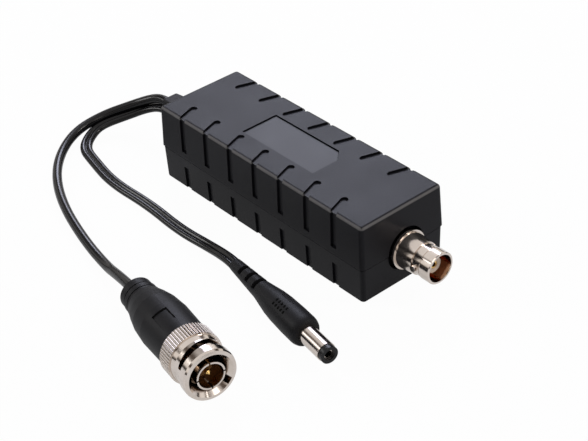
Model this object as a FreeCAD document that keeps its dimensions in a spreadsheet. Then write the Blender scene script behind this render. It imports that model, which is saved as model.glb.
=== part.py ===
import FreeCAD, Part
import math
import os
import re

import Sketcher

# Power over coax adapter: a ribbed two-shell box with a bayonet jack in its front end, and a coax cord
# and a twin power lead that leave its back end together and lie on the floor beside it, each with its plug.
# Millimetres. +X runs along the box towards the jack, +Z is up. The origin is on the floor, below the
# middle of the box and its jack together.

Vector = FreeCAD.Vector
doc = FreeCAD.newDocument("power_over_coax_adapter")

# Sizes

SIZES = [
    # Box
    ("housing_length", 90.0),
    ("housing_width", 31.0),
    ("housing_height", 25.0),
    ("parting_height", 11.0),
    ("parting_gap", 0.35),
    ("upper_draft", 2.0),
    ("lower_draft", 1.0),
    ("lower_step", 0.25),
    ("wall", 2.0),
    ("roof", 1.8),
    ("floor_thickness", 1.8),
    ("corner_round", 1.2),
    ("top_edge_round", 1.1),
    ("lower_lip_round", 0.3),
    ("base_edge_round", 0.5),
    # Tongue of the lower shell, inside the wall of the upper one
    ("tongue_thickness", 0.9),
    ("tongue_height", 1.6),
    ("tongue_gap", 0.1),
    # Grooves across the long sides
    ("groove_count", 7),
    ("groove_pitch", 11.15),
    ("groove_width", 2.3),
    ("groove_depth", 0.6),
    ("groove_reach", 7.9),
    ("groove_lean", 19.0),
    ("groove_stop", 2.0),
    ("lower_groove_stop", 3.2),
    # Label recess in the top
    ("label_length", 31.0),
    ("label_width", 12.9),
    ("label_corner", 3.3),
    ("label_recess", 0.6),
    ("label_thickness", 0.2),
    ("label_gap", 0.15),
    # Screws and their bosses
    ("screw_inset_length", 6.8),
    ("screw_inset_width", 5.0),
    ("screw_head_radius", 2.4),
    ("screw_head_height", 1.5),
    ("screw_shank_radius", 1.2),
    ("screw_length", 11.0),
    ("screw_slot_width", 0.8),
    ("screw_slot_depth", 0.7),
    ("screw_clearance", 0.3),
    ("screw_sink", 0.6),
    ("lower_boss_radius", 3.8),
    ("upper_boss_radius", 2.7),
    ("thread_gap", 0.05),
    ("saddle_setback", 3.6),
    ("saddle_thickness", 2.0),
    ("saddle_width", 14.0),
    ("post_radius", 1.8),
    ("post_inset_length", 6.5),
    ("post_inset_width", 3.9),
    # Circuit board
    ("board_thickness", 1.6),
    ("board_height", 5.2),
    ("board_side_gap", 0.6),
    ("board_end_gap", 0.9),
    # Jack
    ("jack_side", 1.0),
    ("jack_height", 10.8),
    ("jack_reach", 13.0),
    ("jack_radius", 4.85),
    ("jack_rim_chamfer", 0.2),
    ("jack_bore_radius", 4.15),
    ("jack_bore_depth", 8.8),
    ("jack_ring_setback", 3.3),
    ("jack_ring_width", 0.45),
    ("jack_ring_depth", 0.35),
    ("jack_rear_radius", 4.65),
    ("jack_barrel_length", 6.4),
    ("jack_cone_front_radius", 5.0),
    ("jack_cone_root_radius", 5.5),
    ("flange_radius", 6.0),
    ("flange_thickness", 1.5),
    ("flange_stand", 1.1),
    ("flange_hole_gap", 0.7),
    ("jack_neck_radius", 5.2),
    ("jack_neck_length", 7.0),
    ("jack_tail_length", 9.0),
    ("lug_radius", 1.0),
    ("lug_reach", 5.55),
    ("lug_setback", 5.1),
    ("jack_tail_radius", 3.8),
    ("insert_gap", 0.05),
    ("insulator_radius", 2.4),
    ("insulator_recess", 2.3),
    ("contact_radius", 1.1),
    ("contact_bore_radius", 0.7),
    ("contact_bore_depth", 5.0),
    ("contact_recess", 0.2),
    ("contact_tail", 1.6),
    ("solder_leg_radius", 0.5),
    ("solder_leg_spacing", 5.08),
    ("solder_leg_stand", 1.0),
    ("solder_leg_setback", 2.5),
    ("solder_leg_root", 2.2),
    ("solder_hole_gap", 0.1),
    # Parts on the board
    ("choke_radius", 6.0),
    ("choke_height", 13.0),
    ("choke_core_radius", 4.6),
    ("choke_flange", 1.6),
    ("choke_place", -22.0),
    ("lead_pin_radius", 0.4),
    ("lead_pin_spacing", 5.08),
    ("blocking_length", 7.3),
    ("blocking_width", 4.5),
    ("blocking_height", 9.0),
    ("blocking_place", 19.0),
    ("smoothing_radius", 5.0),
    ("smoothing_height", 12.5),
    ("smoothing_crimp", 0.4),
    ("smoothing_place", 2.0),
    ("suppressor_radius", 2.6),
    ("suppressor_length", 9.0),
    ("suppressor_lead_radius", 0.5),
    ("suppressor_lead_reach", 2.5),
    ("suppressor_leg_radius", 0.42),
    ("suppressor_place", -6.5),
    ("chip_length", 6.2),
    ("chip_width", 3.9),
    ("chip_height", 1.5),
    ("chip_leg_reach", 1.1),
    ("chip_leg_width", 0.4),
    ("chip_leg_pitch", 1.27),
    ("chip_place", 10.5),
    ("parts_side", 5.2),
    # Strain relief at the back end
    ("grommet_reach", 16.4),
    ("grommet_height_centre", 11.0),
    ("grommet_root_width", 8.6),
    ("grommet_root_height", 10.0),
    ("grommet_end_width", 6.0),
    ("grommet_end_height", 8.0),
    ("grommet_neck_inset", 0.7),
    ("grommet_flange_thickness", 1.4),
    ("grommet_edge_round", 0.9),
    ("grommet_gap", 0.1),
    # Cords
    ("coax_radius", 1.5),
    ("coax_exit_height", 12.2),
    ("cord_end_run", 4.2),
    ("lead_width", 4.2),
    ("lead_thickness", 2.0),
    ("lead_exit_height", 9.0),
    # Coax plug, measured back from the front of its ring
    ("plug_front_along", 40.1),
    ("plug_front_side", -68.7),
    ("plug_front_height", 8.34),
    ("plug_turn", 9.7),
    ("plug_rise", 1.9),
    ("ring_length", 13.4),
    ("ring_radius", 7.65),
    ("ring_front_radius", 7.55),
    ("ring_waist_radius", 7.0),
    ("ring_front_length", 3.0),
    ("ring_knurl_length", 5.0),
    ("ring_bore_radius", 4.95),
    ("ring_bore_length", 7.0),
    ("ring_chamber_radius", 6.1),
    ("ring_chamber_length", 3.6),
    ("ring_neck_gap", 0.3),
    ("ring_lip_round", 0.9),
    ("ring_mouth_radius", 5.9),
    ("ring_mouth_depth", 1.4),
    ("ring_shoulder_radius", 7.35),
    ("ring_shoulder_length", 1.6),
    ("ring_step", 0.3),
    ("slot_width", 2.0),
    ("slot_setback", 4.0),
    ("slot_tilt", 9.0),
    ("slot_sweep", 130.0),
    ("slot_place", 95.0),
    ("entry_place", 142.0),
    ("entry_depth", 1.4),
    ("sleeve_radius", 4.1),
    ("sleeve_wall", 0.5),
    ("sleeve_setback", 0.1),
    ("sleeve_slit", 0.45),
    ("sleeve_slit_length", 5.0),
    ("cavity_depth", 8.6),
    ("collar_radius", 5.7),
    ("collar_setback", 7.5),
    ("collar_length", 1.1),
    ("neck_radius", 4.2),
    ("neck_in_boot", 6.0),
    ("gasket_thickness", 0.9),
    ("gasket_radius", 4.8),
    ("washer_thickness", 0.4),
    ("washer_rise", 0.8),
    ("washer_radius", 5.8),
    ("washer_gap", 0.15),
    ("pin_radius", 0.68),
    ("pin_setback", 1.2),
    ("pin_point", 0.5),
    ("plug_insulator_length", 3.0),
    ("plug_stem_radius", 2.0),
    ("pin_tail", 4.0),
    ("boot_gap", 0.4),
    ("boot_front_radius", 7.2),
    ("boot_front_land", 1.2),
    ("boot_shoulder_radius", 7.45),
    ("boot_waist_radius", 5.3),
    ("boot_shoulder_setback", 11.6),
    ("boot_slope_setback", 16.8),
    ("boot_slope_radius", 7.0),
    ("boot_hip_setback", 20.4),
    ("boot_hip_radius", 6.2),
    ("boot_waist_setback", 23.4),
    ("boot_length", 29.1),
    ("boot_tail_radius", 4.85),
    ("boot_tail_ring", 2.3),
    ("boot_second_ring", 1.6),
    ("boot_second_radius", 5.1),
    ("boot_ring_groove", 0.6),
    ("boot_groove_depth", 0.6),
    ("recess_front", 0.8),
    ("recess_back", 9.5),
    ("recess_front_radius", 7.3),
    ("recess_floor_radius", 7.0),
    ("recess_sweep", 37.0),
    ("recess_place", 18.0),
    # Power plug, measured back from its tip
    ("power_tip_along", 52.0),
    ("power_tip_side", -39.7),
    ("power_tip_height", 5.09),
    ("power_turn", 9.3),
    ("power_rise", 1.7),
    ("power_length", 49.0),
    ("barrel_radius", 2.75),
    ("barrel_length", 9.4),
    ("barrel_wall", 0.5),
    ("barrel_root_radius", 2.5),
    ("tip_length", 1.6),
    ("tip_radius", 2.55),
    ("tip_seat", 0.8),
    ("inner_contact_radius", 1.5),
    ("inner_contact_bore", 1.05),
    ("inner_contact_setback", 0.8),
    ("power_boot_front_radius", 4.1),
    ("power_boot_radius", 4.6),
    ("power_boot_waist_radius", 4.0),
    ("power_boot_front_slope", 2.2),
    ("power_boot_body", 22.9),
    ("power_rib_count", 3),
    ("power_rib_pitch", 4.0),
    ("power_rib_gap", 1.1),
    ("power_rib_depth", 0.8),
    ("power_rib_start", 0.6),
    ("power_tail_radius", 3.2),
    ("barrel_in_boot", 6.0),
]

sheet = doc.addObject("Spreadsheet::Sheet", "Dim")
for row, (alias, size) in enumerate(SIZES, start=1):
    sheet.set(f"A{row}", alias)
    sheet.set(f"B{row}", str(size))
    sheet.setAlias(f"B{row}", alias)
doc.recompute()

NAMES = {alias for alias, size in SIZES}


def number(alias):
    """The value of one size, for what is worked out in this file itself."""
    return float(sheet.get(alias))


def point_at_sheet(word):
    """One word of an expression, with the sheet's name before it if it is a size."""
    return "Dim." + word.group(0) if word.group(0) in NAMES else word.group(0)


def bound(text):
    """An expression in which every size name points at the sheet."""
    return re.sub(r"[a-z][a-z_]*", point_at_sheet, text)


# Places that several pieces share

BOX_MIDDLE = "(0 - jack_reach / 2)"
BOX_FRONT = "(housing_length / 2 - jack_reach / 2)"
BOX_BACK = "(0 - housing_length / 2 - jack_reach / 2)"
UPPER_BASE = "(parting_height + parting_gap)"
BOARD_TOP = "(board_height + board_thickness)"
SCREW_LENGTH = "(housing_length - 2 * screw_inset_length)"
SCREW_WIDTH = "(housing_width - 2 * screw_inset_width)"
BOARD_LENGTH = "(housing_length - 2 * screw_inset_length - 2 * lower_boss_radius - 2 * board_end_gap)"
BOARD_WIDTH = "(housing_width - 2 * wall - 2 * board_side_gap)"
POST_LENGTH = f"({BOARD_LENGTH} - 2 * post_inset_length)"
POST_WIDTH = f"({BOARD_WIDTH} - 2 * post_inset_width)"
FOUR_CORNERS = [(along, side) for along in (-1, 1) for side in (-1, 1)]

middle_x = -number("jack_reach") / 2

pieces = []


# Helpers for sketches and features

def new_body(label):
    """A body for one piece of the adapter, kept for export under its label."""
    body = doc.addObject("PartDesign::Body", label)
    body.Label = label
    pieces.append(body)
    return body


def new_sketch(body, role, name, offset=None):
    """A sketch on one of the body's own planes, moved along the plane's normal by an expression."""
    plane = next(item for item in body.Origin.OriginFeatures if item.Role == role)
    sketch = body.newObject("Sketcher::SketchObject", name)
    sketch.AttachmentSupport = [(plane, "")]
    sketch.MapMode = "FlatFace"
    if offset:
        sketch.setExpression("AttachmentOffset.Base.z", bound(offset))
    return sketch


def fix_point(sketch, element, corner, spot):
    """Hold one point of a sketch at a spot given by two expressions."""
    for kind, text in zip(("DistanceX", "DistanceY"), spot):
        index = sketch.addConstraint(Sketcher.Constraint(kind, -1, 1, element, corner, 1.0))
        sketch.setExpression(f"Constraints[{index}]", bound(text))


def draw_polygon(sketch, corners):
    """A closed outline through corners given as pairs of expressions."""
    count = len(corners)
    rough = [Vector(math.cos(math.tau * i / count), math.sin(math.tau * i / count), 0) for i in range(count)]
    first = sketch.GeometryCount
    for i in range(count):
        sketch.addGeometry(Part.LineSegment(rough[i], rough[(i + 1) % count]), False)
    for i in range(count):
        sketch.addConstraint(Sketcher.Constraint("Coincident", first + i, 2, first + (i + 1) % count, 1))
    for i, corner in enumerate(corners):
        fix_point(sketch, first + i, 1, corner)


def draw_rectangle(sketch, centre, width, height):
    """A rectangle about a centre, all four values expressions."""
    left = f"{centre[0]} - ({width}) / 2"
    right = f"{centre[0]} + ({width}) / 2"
    low = f"{centre[1]} - ({height}) / 2"
    high = f"{centre[1]} + ({height}) / 2"
    draw_polygon(sketch, [(left, low), (right, low), (right, high), (left, high)])


def draw_circle(sketch, centre, radius):
    """A circle whose centre and radius are expressions."""
    index = sketch.addGeometry(Part.Circle(Vector(0, 0, 0), Vector(0, 0, 1), 1.0), False)
    fix_point(sketch, index, 3, centre)
    held = sketch.addConstraint(Sketcher.Constraint("Radius", index, 1.0))
    sketch.setExpression(f"Constraints[{held}]", bound(radius))


def draw_closed(sketch, corners):
    """A closed outline through points that are worked out in this file."""
    for start, end in zip(corners, corners[1:] + corners[:1]):
        sketch.addGeometry(Part.LineSegment(start, end), False)


def draw_slot(sketch, inner, outer, radius):
    """A slot with a round end about the inner point and a flat end at the outer one."""
    along = (outer - inner).normalize()
    across = Vector(-along.y, along.x, 0) * radius
    sketch.addGeometry(Part.LineSegment(inner + across, outer + across), False)
    sketch.addGeometry(Part.LineSegment(outer + across, outer - across), False)
    sketch.addGeometry(Part.LineSegment(outer - across, inner - across), False)
    sketch.addGeometry(Part.Arc(inner - across, inner - along * radius, inner + across), False)


def extrude(body, kind, name, sketch, length, reverse, taper, both):
    """A pad or pocket of a sketch, with its length and draft as expressions."""
    feature = body.newObject(kind, name)
    feature.Profile = sketch
    feature.setExpression("Length", bound(length))
    feature.Reversed = reverse
    feature.Midplane = both
    if taper:
        feature.setExpression("TaperAngle", bound(taper))
    return feature


def pad(body, name, sketch, length, reverse=False, taper=None, both=False):
    """Material along the sketch's normal."""
    return extrude(body, "PartDesign::Pad", name, sketch, length, reverse, taper, both)


def pocket(body, name, sketch, length, reverse=False, taper=None, both=False):
    """A cut against the sketch's normal, or along it when reversed."""
    return extrude(body, "PartDesign::Pocket", name, sketch, length, reverse, taper, both)


def turn_profile(body, name, corners, upright=False, cut=False):
    """A turned form or cut, from (along, radius) corners about X or (radius, height) ones about Z."""
    sketch = new_sketch(body, "XZ_Plane", name + "Profile")
    draw_polygon(sketch, corners)
    feature = body.newObject("PartDesign::Groove" if cut else "PartDesign::Revolution", name)
    feature.Profile = sketch
    feature.ReferenceAxis = (sketch, ["V_Axis" if upright else "H_Axis"])
    feature.Angle = 360
    return feature


def body_axis(body, role):
    """One of the body's own axes, for a pattern."""
    return next(item for item in body.Origin.OriginFeatures if item.Role == role)


def repeat_along(body, name, feature, length, count):
    """Copies of a feature in a row along X, over a whole length."""
    pattern = body.newObject("PartDesign::LinearPattern", name)
    pattern.Originals = [feature]
    pattern.Direction = (body_axis(body, "X_Axis"), [""])
    pattern.setExpression("Length", bound(length))
    pattern.setExpression("Occurrences", bound(count))
    body.Tip = pattern
    return pattern


def repeat_round(body, name, feature, count):
    """Copies of a feature spread evenly about the X axis."""
    pattern = body.newObject("PartDesign::PolarPattern", name)
    pattern.Originals = [feature]
    pattern.Axis = (body_axis(body, "X_Axis"), [""])
    pattern.Angle = 360
    pattern.Occurrences = count
    body.Tip = pattern
    return pattern


def round_edges(body, name, feature, radius, chosen):
    """A fillet on the edges of a feature that a test on the edge picks out."""
    doc.recompute()
    names = [f"Edge{i}" for i, edge in enumerate(feature.Shape.Edges, start=1) if chosen(edge)]
    fillet = body.newObject("PartDesign::Fillet", name)
    fillet.Base = (feature, names)
    fillet.setExpression("Radius", bound(radius))
    doc.recompute()
    return fillet


def level_at(height):
    """A test for edges that lie flat at a height."""
    return lambda edge: abs(edge.BoundBox.ZMin - height) < 1e-4 and abs(edge.BoundBox.ZMax - height) < 1e-4


def is_corner(edge):
    """Whether an edge is one of the long upright corners, which the draft tips a little."""
    box = edge.BoundBox
    return box.ZLength > 4 * max(box.XLength, box.YLength)


def lay(item, along, side, height, turn="0", rise="0"):
    """Put a piece drawn about its own origin where it lies, turned about the upright, its front raised."""
    turned = f"rotationz(0 - {turn}) * rotationy(0 - {rise})"
    item.setExpression("Placement", bound(f"placement(vector({along}; {side}; {height}); {turned})"))


# Box

def draw_box_outline(sketch, inset="0"):
    """The outline of the box, a distance inside its full size."""
    sizes = (f"housing_length - 2 * ({inset})", f"housing_width - 2 * ({inset})")
    draw_rectangle(sketch, (BOX_MIDDLE, "0"), *sizes)


def draw_corner_circles(sketch, length, width, radius):
    """Four circles at the corners of a rectangle about the middle of the box."""
    for along, side in FOUR_CORNERS:
        draw_circle(sketch, (f"{BOX_MIDDLE} + {along} * {length} / 2", f"{side} * {width} / 2"), radius)


def first_groove():
    """Where the middle of the rearmost groove meets the side of the box."""
    return middle_x - (number("groove_count") - 1) / 2 * number("groove_pitch")


def cut_top_grooves(body, name, side):
    """The grooves on the top, from one long side inwards."""
    sketch = new_sketch(body, "XY_Plane", name + "Sketch", "housing_height")
    half = number("housing_width") / 2
    radius = number("groove_width") / 2
    slope = math.tan(math.radians(number("groove_lean")))
    run = number("groove_reach") - radius
    inner = Vector(first_groove() - slope * run, side * (half - run), 0)
    outer = Vector(first_groove() + slope * radius, side * (half + radius), 0)
    draw_slot(sketch, inner, outer, radius)
    cut = pocket(body, name, sketch, "groove_depth")
    return repeat_along(body, name + "Row", cut, "(groove_count - 1) * groove_pitch", "groove_count")


def cut_side_grooves(body, name, side, foot, inset, tilt, low, high):
    """Upright grooves down one long side. Their floor follows the draft of the side.

    The side lies inset inside the full width at the height foot, from which low and high are measured.
    """
    sketch = new_sketch(body, "XZ_Plane", name + "Sketch")
    half = number("housing_width") / 2 - inset
    radius = number("groove_width") / 2
    tipped = FreeCAD.Rotation(Vector(1, 0, 0), side * tilt)
    sketch.AttachmentOffset = FreeCAD.Placement(Vector(0, foot, -side * half), tipped)
    left = first_groove() - radius
    right = first_groove() + radius
    corners = [(left, low), (right, low), (right, high), (left, high)]
    draw_closed(sketch, [Vector(across, up, 0) for across, up in corners])
    cut = pocket(body, name, sketch, "groove_depth", reverse=side > 0)
    return repeat_along(body, name + "Row", cut, "(groove_count - 1) * groove_pitch", "groove_count")


def cut_jack_hole(body):
    """The round hole in the front wall, halved by the parting, with a dark gap round the flange."""
    sketch = new_sketch(body, "YZ_Plane", "JackHoleSketch", f"{BOX_FRONT} + wall")
    draw_circle(sketch, ("jack_side", "jack_height"), "flange_radius + flange_hole_gap")
    pocket(body, "JackHole", sketch, "wall * 2 + corner_round")


def add_saddle(body, height, length, reverse):
    """A rib across the box that holds the neck of the jack."""
    back = f"({BOX_FRONT} - saddle_setback - saddle_thickness / 2)"
    sketch = new_sketch(body, "XY_Plane", "SaddleSketch", height)
    draw_rectangle(sketch, (back, "jack_side"), "saddle_thickness", "saddle_width")
    pad(body, "Saddle", sketch, length, reverse=reverse)
    seat = new_sketch(body, "YZ_Plane", "SaddleSeatSketch", f"{BOX_FRONT} - saddle_setback + insert_gap")
    draw_circle(seat, ("jack_side", "jack_height"), "jack_neck_radius + insert_gap")
    pocket(body, "SaddleSeat", seat, "saddle_thickness + 2 * insert_gap")


def cut_grommet_opening(body):
    """The square opening in the back wall for the neck of the strain relief."""
    sketch = new_sketch(body, "YZ_Plane", "GrommetOpeningSketch", f"{BOX_BACK} - wall")
    width = "grommet_root_width - 2 * (grommet_neck_inset - grommet_gap)"
    height = "grommet_root_height - 2 * (grommet_neck_inset - grommet_gap)"
    draw_rectangle(sketch, ("0", "grommet_height_centre"), width, height)
    pocket(body, "GrommetOpening", sketch, "wall * 2 + corner_round", reverse=True)


def build_upper_shell():
    """Upper half of the box."""
    body = new_body("upper_shell")
    outline = new_sketch(body, "XY_Plane", "Outline", UPPER_BASE)
    draw_box_outline(outline)
    solid = pad(body, "Solid", outline, f"housing_height - {UPPER_BASE}", taper="0 - upper_draft")
    solid = round_edges(body, "Corners", solid, "corner_round", is_corner)
    round_edges(body, "TopEdge", solid, "top_edge_round", level_at(number("housing_height")))
    base = number("parting_height") + number("parting_gap")
    top = number("housing_height") - base + number("groove_width")
    low = number("groove_stop")
    draft = number("upper_draft")
    for name, side in (("Near", -1), ("Far", 1)):
        cut_top_grooves(body, name + "TopGroove", side)
        cut_side_grooves(body, name + "SideGroove", side, base, 0.0, draft, low, top)
    label = new_sketch(body, "XY_Plane", "LabelRecessSketch", "housing_height")
    draw_label_outline(label, "0")
    pocket(body, "LabelRecess", label, "label_recess")
    cavity = new_sketch(body, "XY_Plane", "CavitySketch", UPPER_BASE)
    draw_box_outline(cavity, "wall")
    pocket(body, "Cavity", cavity, f"housing_height - roof - {UPPER_BASE}", reverse=True)
    rebate = new_sketch(body, "XY_Plane", "RebateSketch", UPPER_BASE)
    draw_box_outline(rebate, "wall - tongue_thickness - tongue_gap")
    pocket(body, "Rebate", rebate, "tongue_height - parting_gap", reverse=True)
    bosses = new_sketch(body, "XY_Plane", "BossSketch", "parting_height")
    draw_corner_circles(bosses, SCREW_LENGTH, SCREW_WIDTH, "upper_boss_radius")
    pad(body, "Bosses", bosses, "housing_height - roof / 2 - parting_height")
    add_saddle(body, "parting_height", "housing_height - roof / 2 - parting_height", False)
    holes = new_sketch(body, "XY_Plane", "ScrewHoleSketch", "parting_height")
    draw_corner_circles(holes, SCREW_LENGTH, SCREW_WIDTH, "screw_shank_radius + thread_gap")
    depth = "screw_sink + screw_head_height + screw_length + 1 - parting_height"
    pocket(body, "ScrewHoles", holes, depth, reverse=True)
    cut_jack_hole(body)
    cut_grommet_opening(body)


def draw_label_outline(sketch, inset):
    """The label with its one slanted corner, a distance inside the recess."""
    back = f"{BOX_MIDDLE} - label_length / 2 + {inset}"
    front = f"{BOX_MIDDLE} + label_length / 2 - {inset}"
    near = f"0 - label_width / 2 + {inset}"
    far = f"label_width / 2 - {inset}"
    corners = [(back, near), (front, near), (front, f"{far} - label_corner")]
    corners += [(f"{front} - label_corner", far), (back, far)]
    draw_polygon(sketch, corners)


def build_label_plate():
    """Plate glued into the recess of the top."""
    body = new_body("label_plate")
    sketch = new_sketch(body, "XY_Plane", "Outline", "housing_height - label_recess")
    draw_label_outline(sketch, "label_gap")
    pad(body, "Plate", sketch, "label_thickness")


def build_lower_shell():
    """Lower half of the box, with the tongue, the board posts and the screw bosses."""
    body = new_body("lower_shell")
    outline = new_sketch(body, "XY_Plane", "Outline", "parting_height")
    draw_box_outline(outline, "lower_step")
    solid = pad(body, "Solid", outline, "parting_height", reverse=True, taper="0 - lower_draft")
    solid = round_edges(body, "Corners", solid, "corner_round", is_corner)
    solid = round_edges(body, "BaseEdge", solid, "base_edge_round", level_at(0.0))
    round_edges(body, "LipEdge", solid, "lower_lip_round", level_at(number("parting_height")))
    foot = number("parting_height")
    step = number("lower_step")
    low = -foot - number("groove_width")
    for name, side in (("Near", -1), ("Far", 1)):
        high = -number("lower_groove_stop")
        cut_side_grooves(body, name + "SideGroove", side, foot, step, -number("lower_draft"), low, high)
    cavity = new_sketch(body, "XY_Plane", "CavitySketch", "parting_height")
    draw_box_outline(cavity, "wall")
    pocket(body, "Cavity", cavity, "parting_height - floor_thickness")
    tongue = new_sketch(body, "XY_Plane", "TongueSketch", "parting_height")
    draw_box_outline(tongue, "wall")
    draw_box_outline(tongue, "wall - tongue_thickness")
    pad(body, "Tongue", tongue, "tongue_height")
    bosses = new_sketch(body, "XY_Plane", "BossSketch", "floor_thickness / 2")
    draw_corner_circles(bosses, SCREW_LENGTH, SCREW_WIDTH, "lower_boss_radius")
    pad(body, "Bosses", bosses, "parting_height - floor_thickness / 2")
    posts = new_sketch(body, "XY_Plane", "PostSketch", "floor_thickness / 2")
    draw_corner_circles(posts, POST_LENGTH, POST_WIDTH, "post_radius")
    pad(body, "Posts", posts, "board_height - floor_thickness / 2")
    add_saddle(body, "floor_thickness / 2", "parting_height - floor_thickness / 2", False)
    heads = new_sketch(body, "XY_Plane", "HeadSinkSketch")
    draw_corner_circles(heads, SCREW_LENGTH, SCREW_WIDTH, "screw_head_radius + screw_clearance")
    pocket(body, "HeadSinks", heads, "screw_sink + screw_head_height", reverse=True)
    holes = new_sketch(body, "XY_Plane", "ScrewHoleSketch")
    draw_corner_circles(holes, SCREW_LENGTH, SCREW_WIDTH, "screw_shank_radius + screw_clearance")
    pocket(body, "ScrewHoles", holes, "parting_height + tongue_height", reverse=True)
    cut_jack_hole(body)
    cut_grommet_opening(body)


def bind_cylinder(name, radius, height):
    """An upright cylinder with its radius and height as expressions."""
    item = doc.addObject("Part::Cylinder", name)
    item.setExpression("Radius", bound(radius))
    item.setExpression("Height", bound(height))
    return item


def build_screws():
    """Four screws from below, heads sunk in the floor."""
    screws = []
    for index, (along, side) in enumerate(FOUR_CORNERS):
        x = f"{BOX_MIDDLE} + {along} * {SCREW_LENGTH} / 2"
        y = f"{side} * {SCREW_WIDTH} / 2"
        head = bind_cylinder(f"ScrewHead{index}", "screw_head_radius", "screw_head_height")
        lay(head, x, y, "screw_sink")
        shank = bind_cylinder(f"ScrewShank{index}", "screw_shank_radius", "screw_length")
        lay(shank, x, y, "screw_sink + screw_head_height")
        slot = doc.addObject("Part::Box", f"ScrewSlot{index}")
        slot.setExpression("Length", bound("screw_head_radius * 4"))
        slot.setExpression("Width", bound("screw_slot_width"))
        slot.setExpression("Height", bound("screw_slot_depth"))
        lay(slot, f"{x} - screw_head_radius * 2", f"{y} - screw_slot_width / 2", "screw_sink")
        blank = doc.addObject("Part::Fuse", f"ScrewBlank{index}")
        blank.Base = head
        blank.Tool = shank
        screw = doc.addObject("Part::Cut", f"Screw{index}")
        screw.Base = blank
        screw.Tool = slot
        screws.append(screw)
    group = doc.addObject("Part::Compound", "housing_screws")
    group.Links = screws
    group.Label = "housing_screws"
    pieces.append(group)


# Circuit board and what stands on it

SUPPRESSOR_LEG = "(suppressor_length / 2 + suppressor_lead_reach - 2 * suppressor_lead_radius)"
PIN_PLACES = [("choke_place", "0"), ("blocking_place", "0"), ("smoothing_place", "parts_side")]
JACK_LENGTH_INSIDE = "(flange_thickness - flange_stand + jack_neck_length + jack_tail_length)"


def build_circuit_board():
    """Board on the posts of the lower shell, with holes for every lead."""
    body = new_body("circuit_board")
    sketch = new_sketch(body, "XY_Plane", "Outline", "board_height")
    draw_rectangle(sketch, (BOX_MIDDLE, "0"), BOARD_LENGTH, BOARD_WIDTH)
    for along, side in PIN_PLACES:
        for way in (-1, 1):
            x = f"{BOX_MIDDLE} + {along} + {way} * lead_pin_spacing / 2"
            draw_circle(sketch, (x, side), "lead_pin_radius + solder_hole_gap")
    for way in (-1, 1):
        x = f"{BOX_MIDDLE} + suppressor_place + {way} * {SUPPRESSOR_LEG}"
        draw_circle(sketch, (x, "0 - parts_side"), "suppressor_leg_radius + solder_hole_gap")
        x = f"{BOX_FRONT} - {JACK_LENGTH_INSIDE} + solder_leg_setback"
        y = f"jack_side + {way} * solder_leg_spacing / 2"
        draw_circle(sketch, (x, y), "solder_leg_radius + solder_hole_gap")
    pad(body, "Board", sketch, "board_thickness")


def add_pins(body):
    """Two leads straight down through the board."""
    sketch = new_sketch(body, "XY_Plane", "PinSketch")
    for way in (-1, 1):
        draw_circle(sketch, (f"{way} * lead_pin_spacing / 2", "0"), "lead_pin_radius")
    pad(body, "Pins", sketch, "board_thickness + solder_leg_stand", reverse=True)


def build_board_parts():
    """Choke, two capacitors, suppressor and regulator chip, seated on the board."""
    choke = new_body("filter_choke")
    low = "choke_flange"
    high = "choke_height - choke_flange"
    corners = [("0", "0"), ("choke_radius", "0"), ("choke_radius", low), ("choke_core_radius", low)]
    corners += [("choke_core_radius", high), ("choke_radius", high)]
    corners += [("choke_radius", "choke_height"), ("0", "choke_height")]
    turn_profile(choke, "Drum", corners, upright=True)
    add_pins(choke)
    lay(choke, f"{BOX_MIDDLE} + choke_place", "0", BOARD_TOP)

    blocking = new_body("blocking_capacitor")
    sketch = new_sketch(blocking, "XY_Plane", "Outline")
    draw_rectangle(sketch, ("0", "0"), "blocking_length", "blocking_width")
    pad(blocking, "Case", sketch, "blocking_height")
    add_pins(blocking)
    lay(blocking, f"{BOX_MIDDLE} + blocking_place", "0", BOARD_TOP)

    smoothing = new_body("smoothing_capacitor")
    neck = "smoothing_radius - smoothing_crimp"
    wide = "smoothing_radius"
    corners = [("0", "0"), (wide, "0"), (wide, "3 * smoothing_crimp"), (neck, "4 * smoothing_crimp")]
    corners += [(neck, "5 * smoothing_crimp"), (wide, "6 * smoothing_crimp")]
    corners += [(wide, "smoothing_height - smoothing_crimp"), (neck, "smoothing_height")]
    corners += [("0", "smoothing_height")]
    turn_profile(smoothing, "Can", corners, upright=True)
    add_pins(smoothing)
    lay(smoothing, f"{BOX_MIDDLE} + smoothing_place", "parts_side", BOARD_TOP)

    suppressor = new_body("surge_suppressor")
    end = "(suppressor_length / 2)"
    reach = "(suppressor_length / 2 + suppressor_lead_reach)"
    wire = "suppressor_lead_radius"
    case = "suppressor_radius"
    corners = [(f"0 - {reach}", "0"), (f"0 - {reach}", wire), (f"0 - {end}", wire), (f"0 - {end}", case)]
    corners += [(end, case), (end, wire), (reach, wire), (reach, "0")]
    turn_profile(suppressor, "Case", corners)
    sketch = new_sketch(suppressor, "XY_Plane", "LegSketch")
    for way in (-1, 1):
        draw_circle(sketch, (f"{way} * {SUPPRESSOR_LEG}", "0"), "suppressor_leg_radius")
    pad(suppressor, "Legs", sketch, "suppressor_radius + board_thickness + solder_leg_stand", reverse=True)
    lay(suppressor, f"{BOX_MIDDLE} + suppressor_place", "0 - parts_side", f"{BOARD_TOP} + suppressor_radius")

    chip = new_body("regulator_chip")
    sketch = new_sketch(chip, "XY_Plane", "Outline")
    draw_rectangle(sketch, ("0", "0"), "chip_length", "chip_width")
    pad(chip, "Case", sketch, "chip_height")
    sketch = new_sketch(chip, "XY_Plane", "LegSketch")
    across = "chip_width + 2 * chip_leg_reach"
    draw_rectangle(sketch, ("0 - chip_leg_pitch * 1.5", "0"), "chip_leg_width", across)
    leg = pad(chip, "Leg", sketch, "chip_leg_width")
    repeat_along(chip, "Legs", leg, "chip_leg_pitch * 3", "4")
    lay(chip, f"{BOX_MIDDLE} + chip_place", "0 - parts_side", BOARD_TOP)


# Jack, drawn back from its rim

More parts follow.
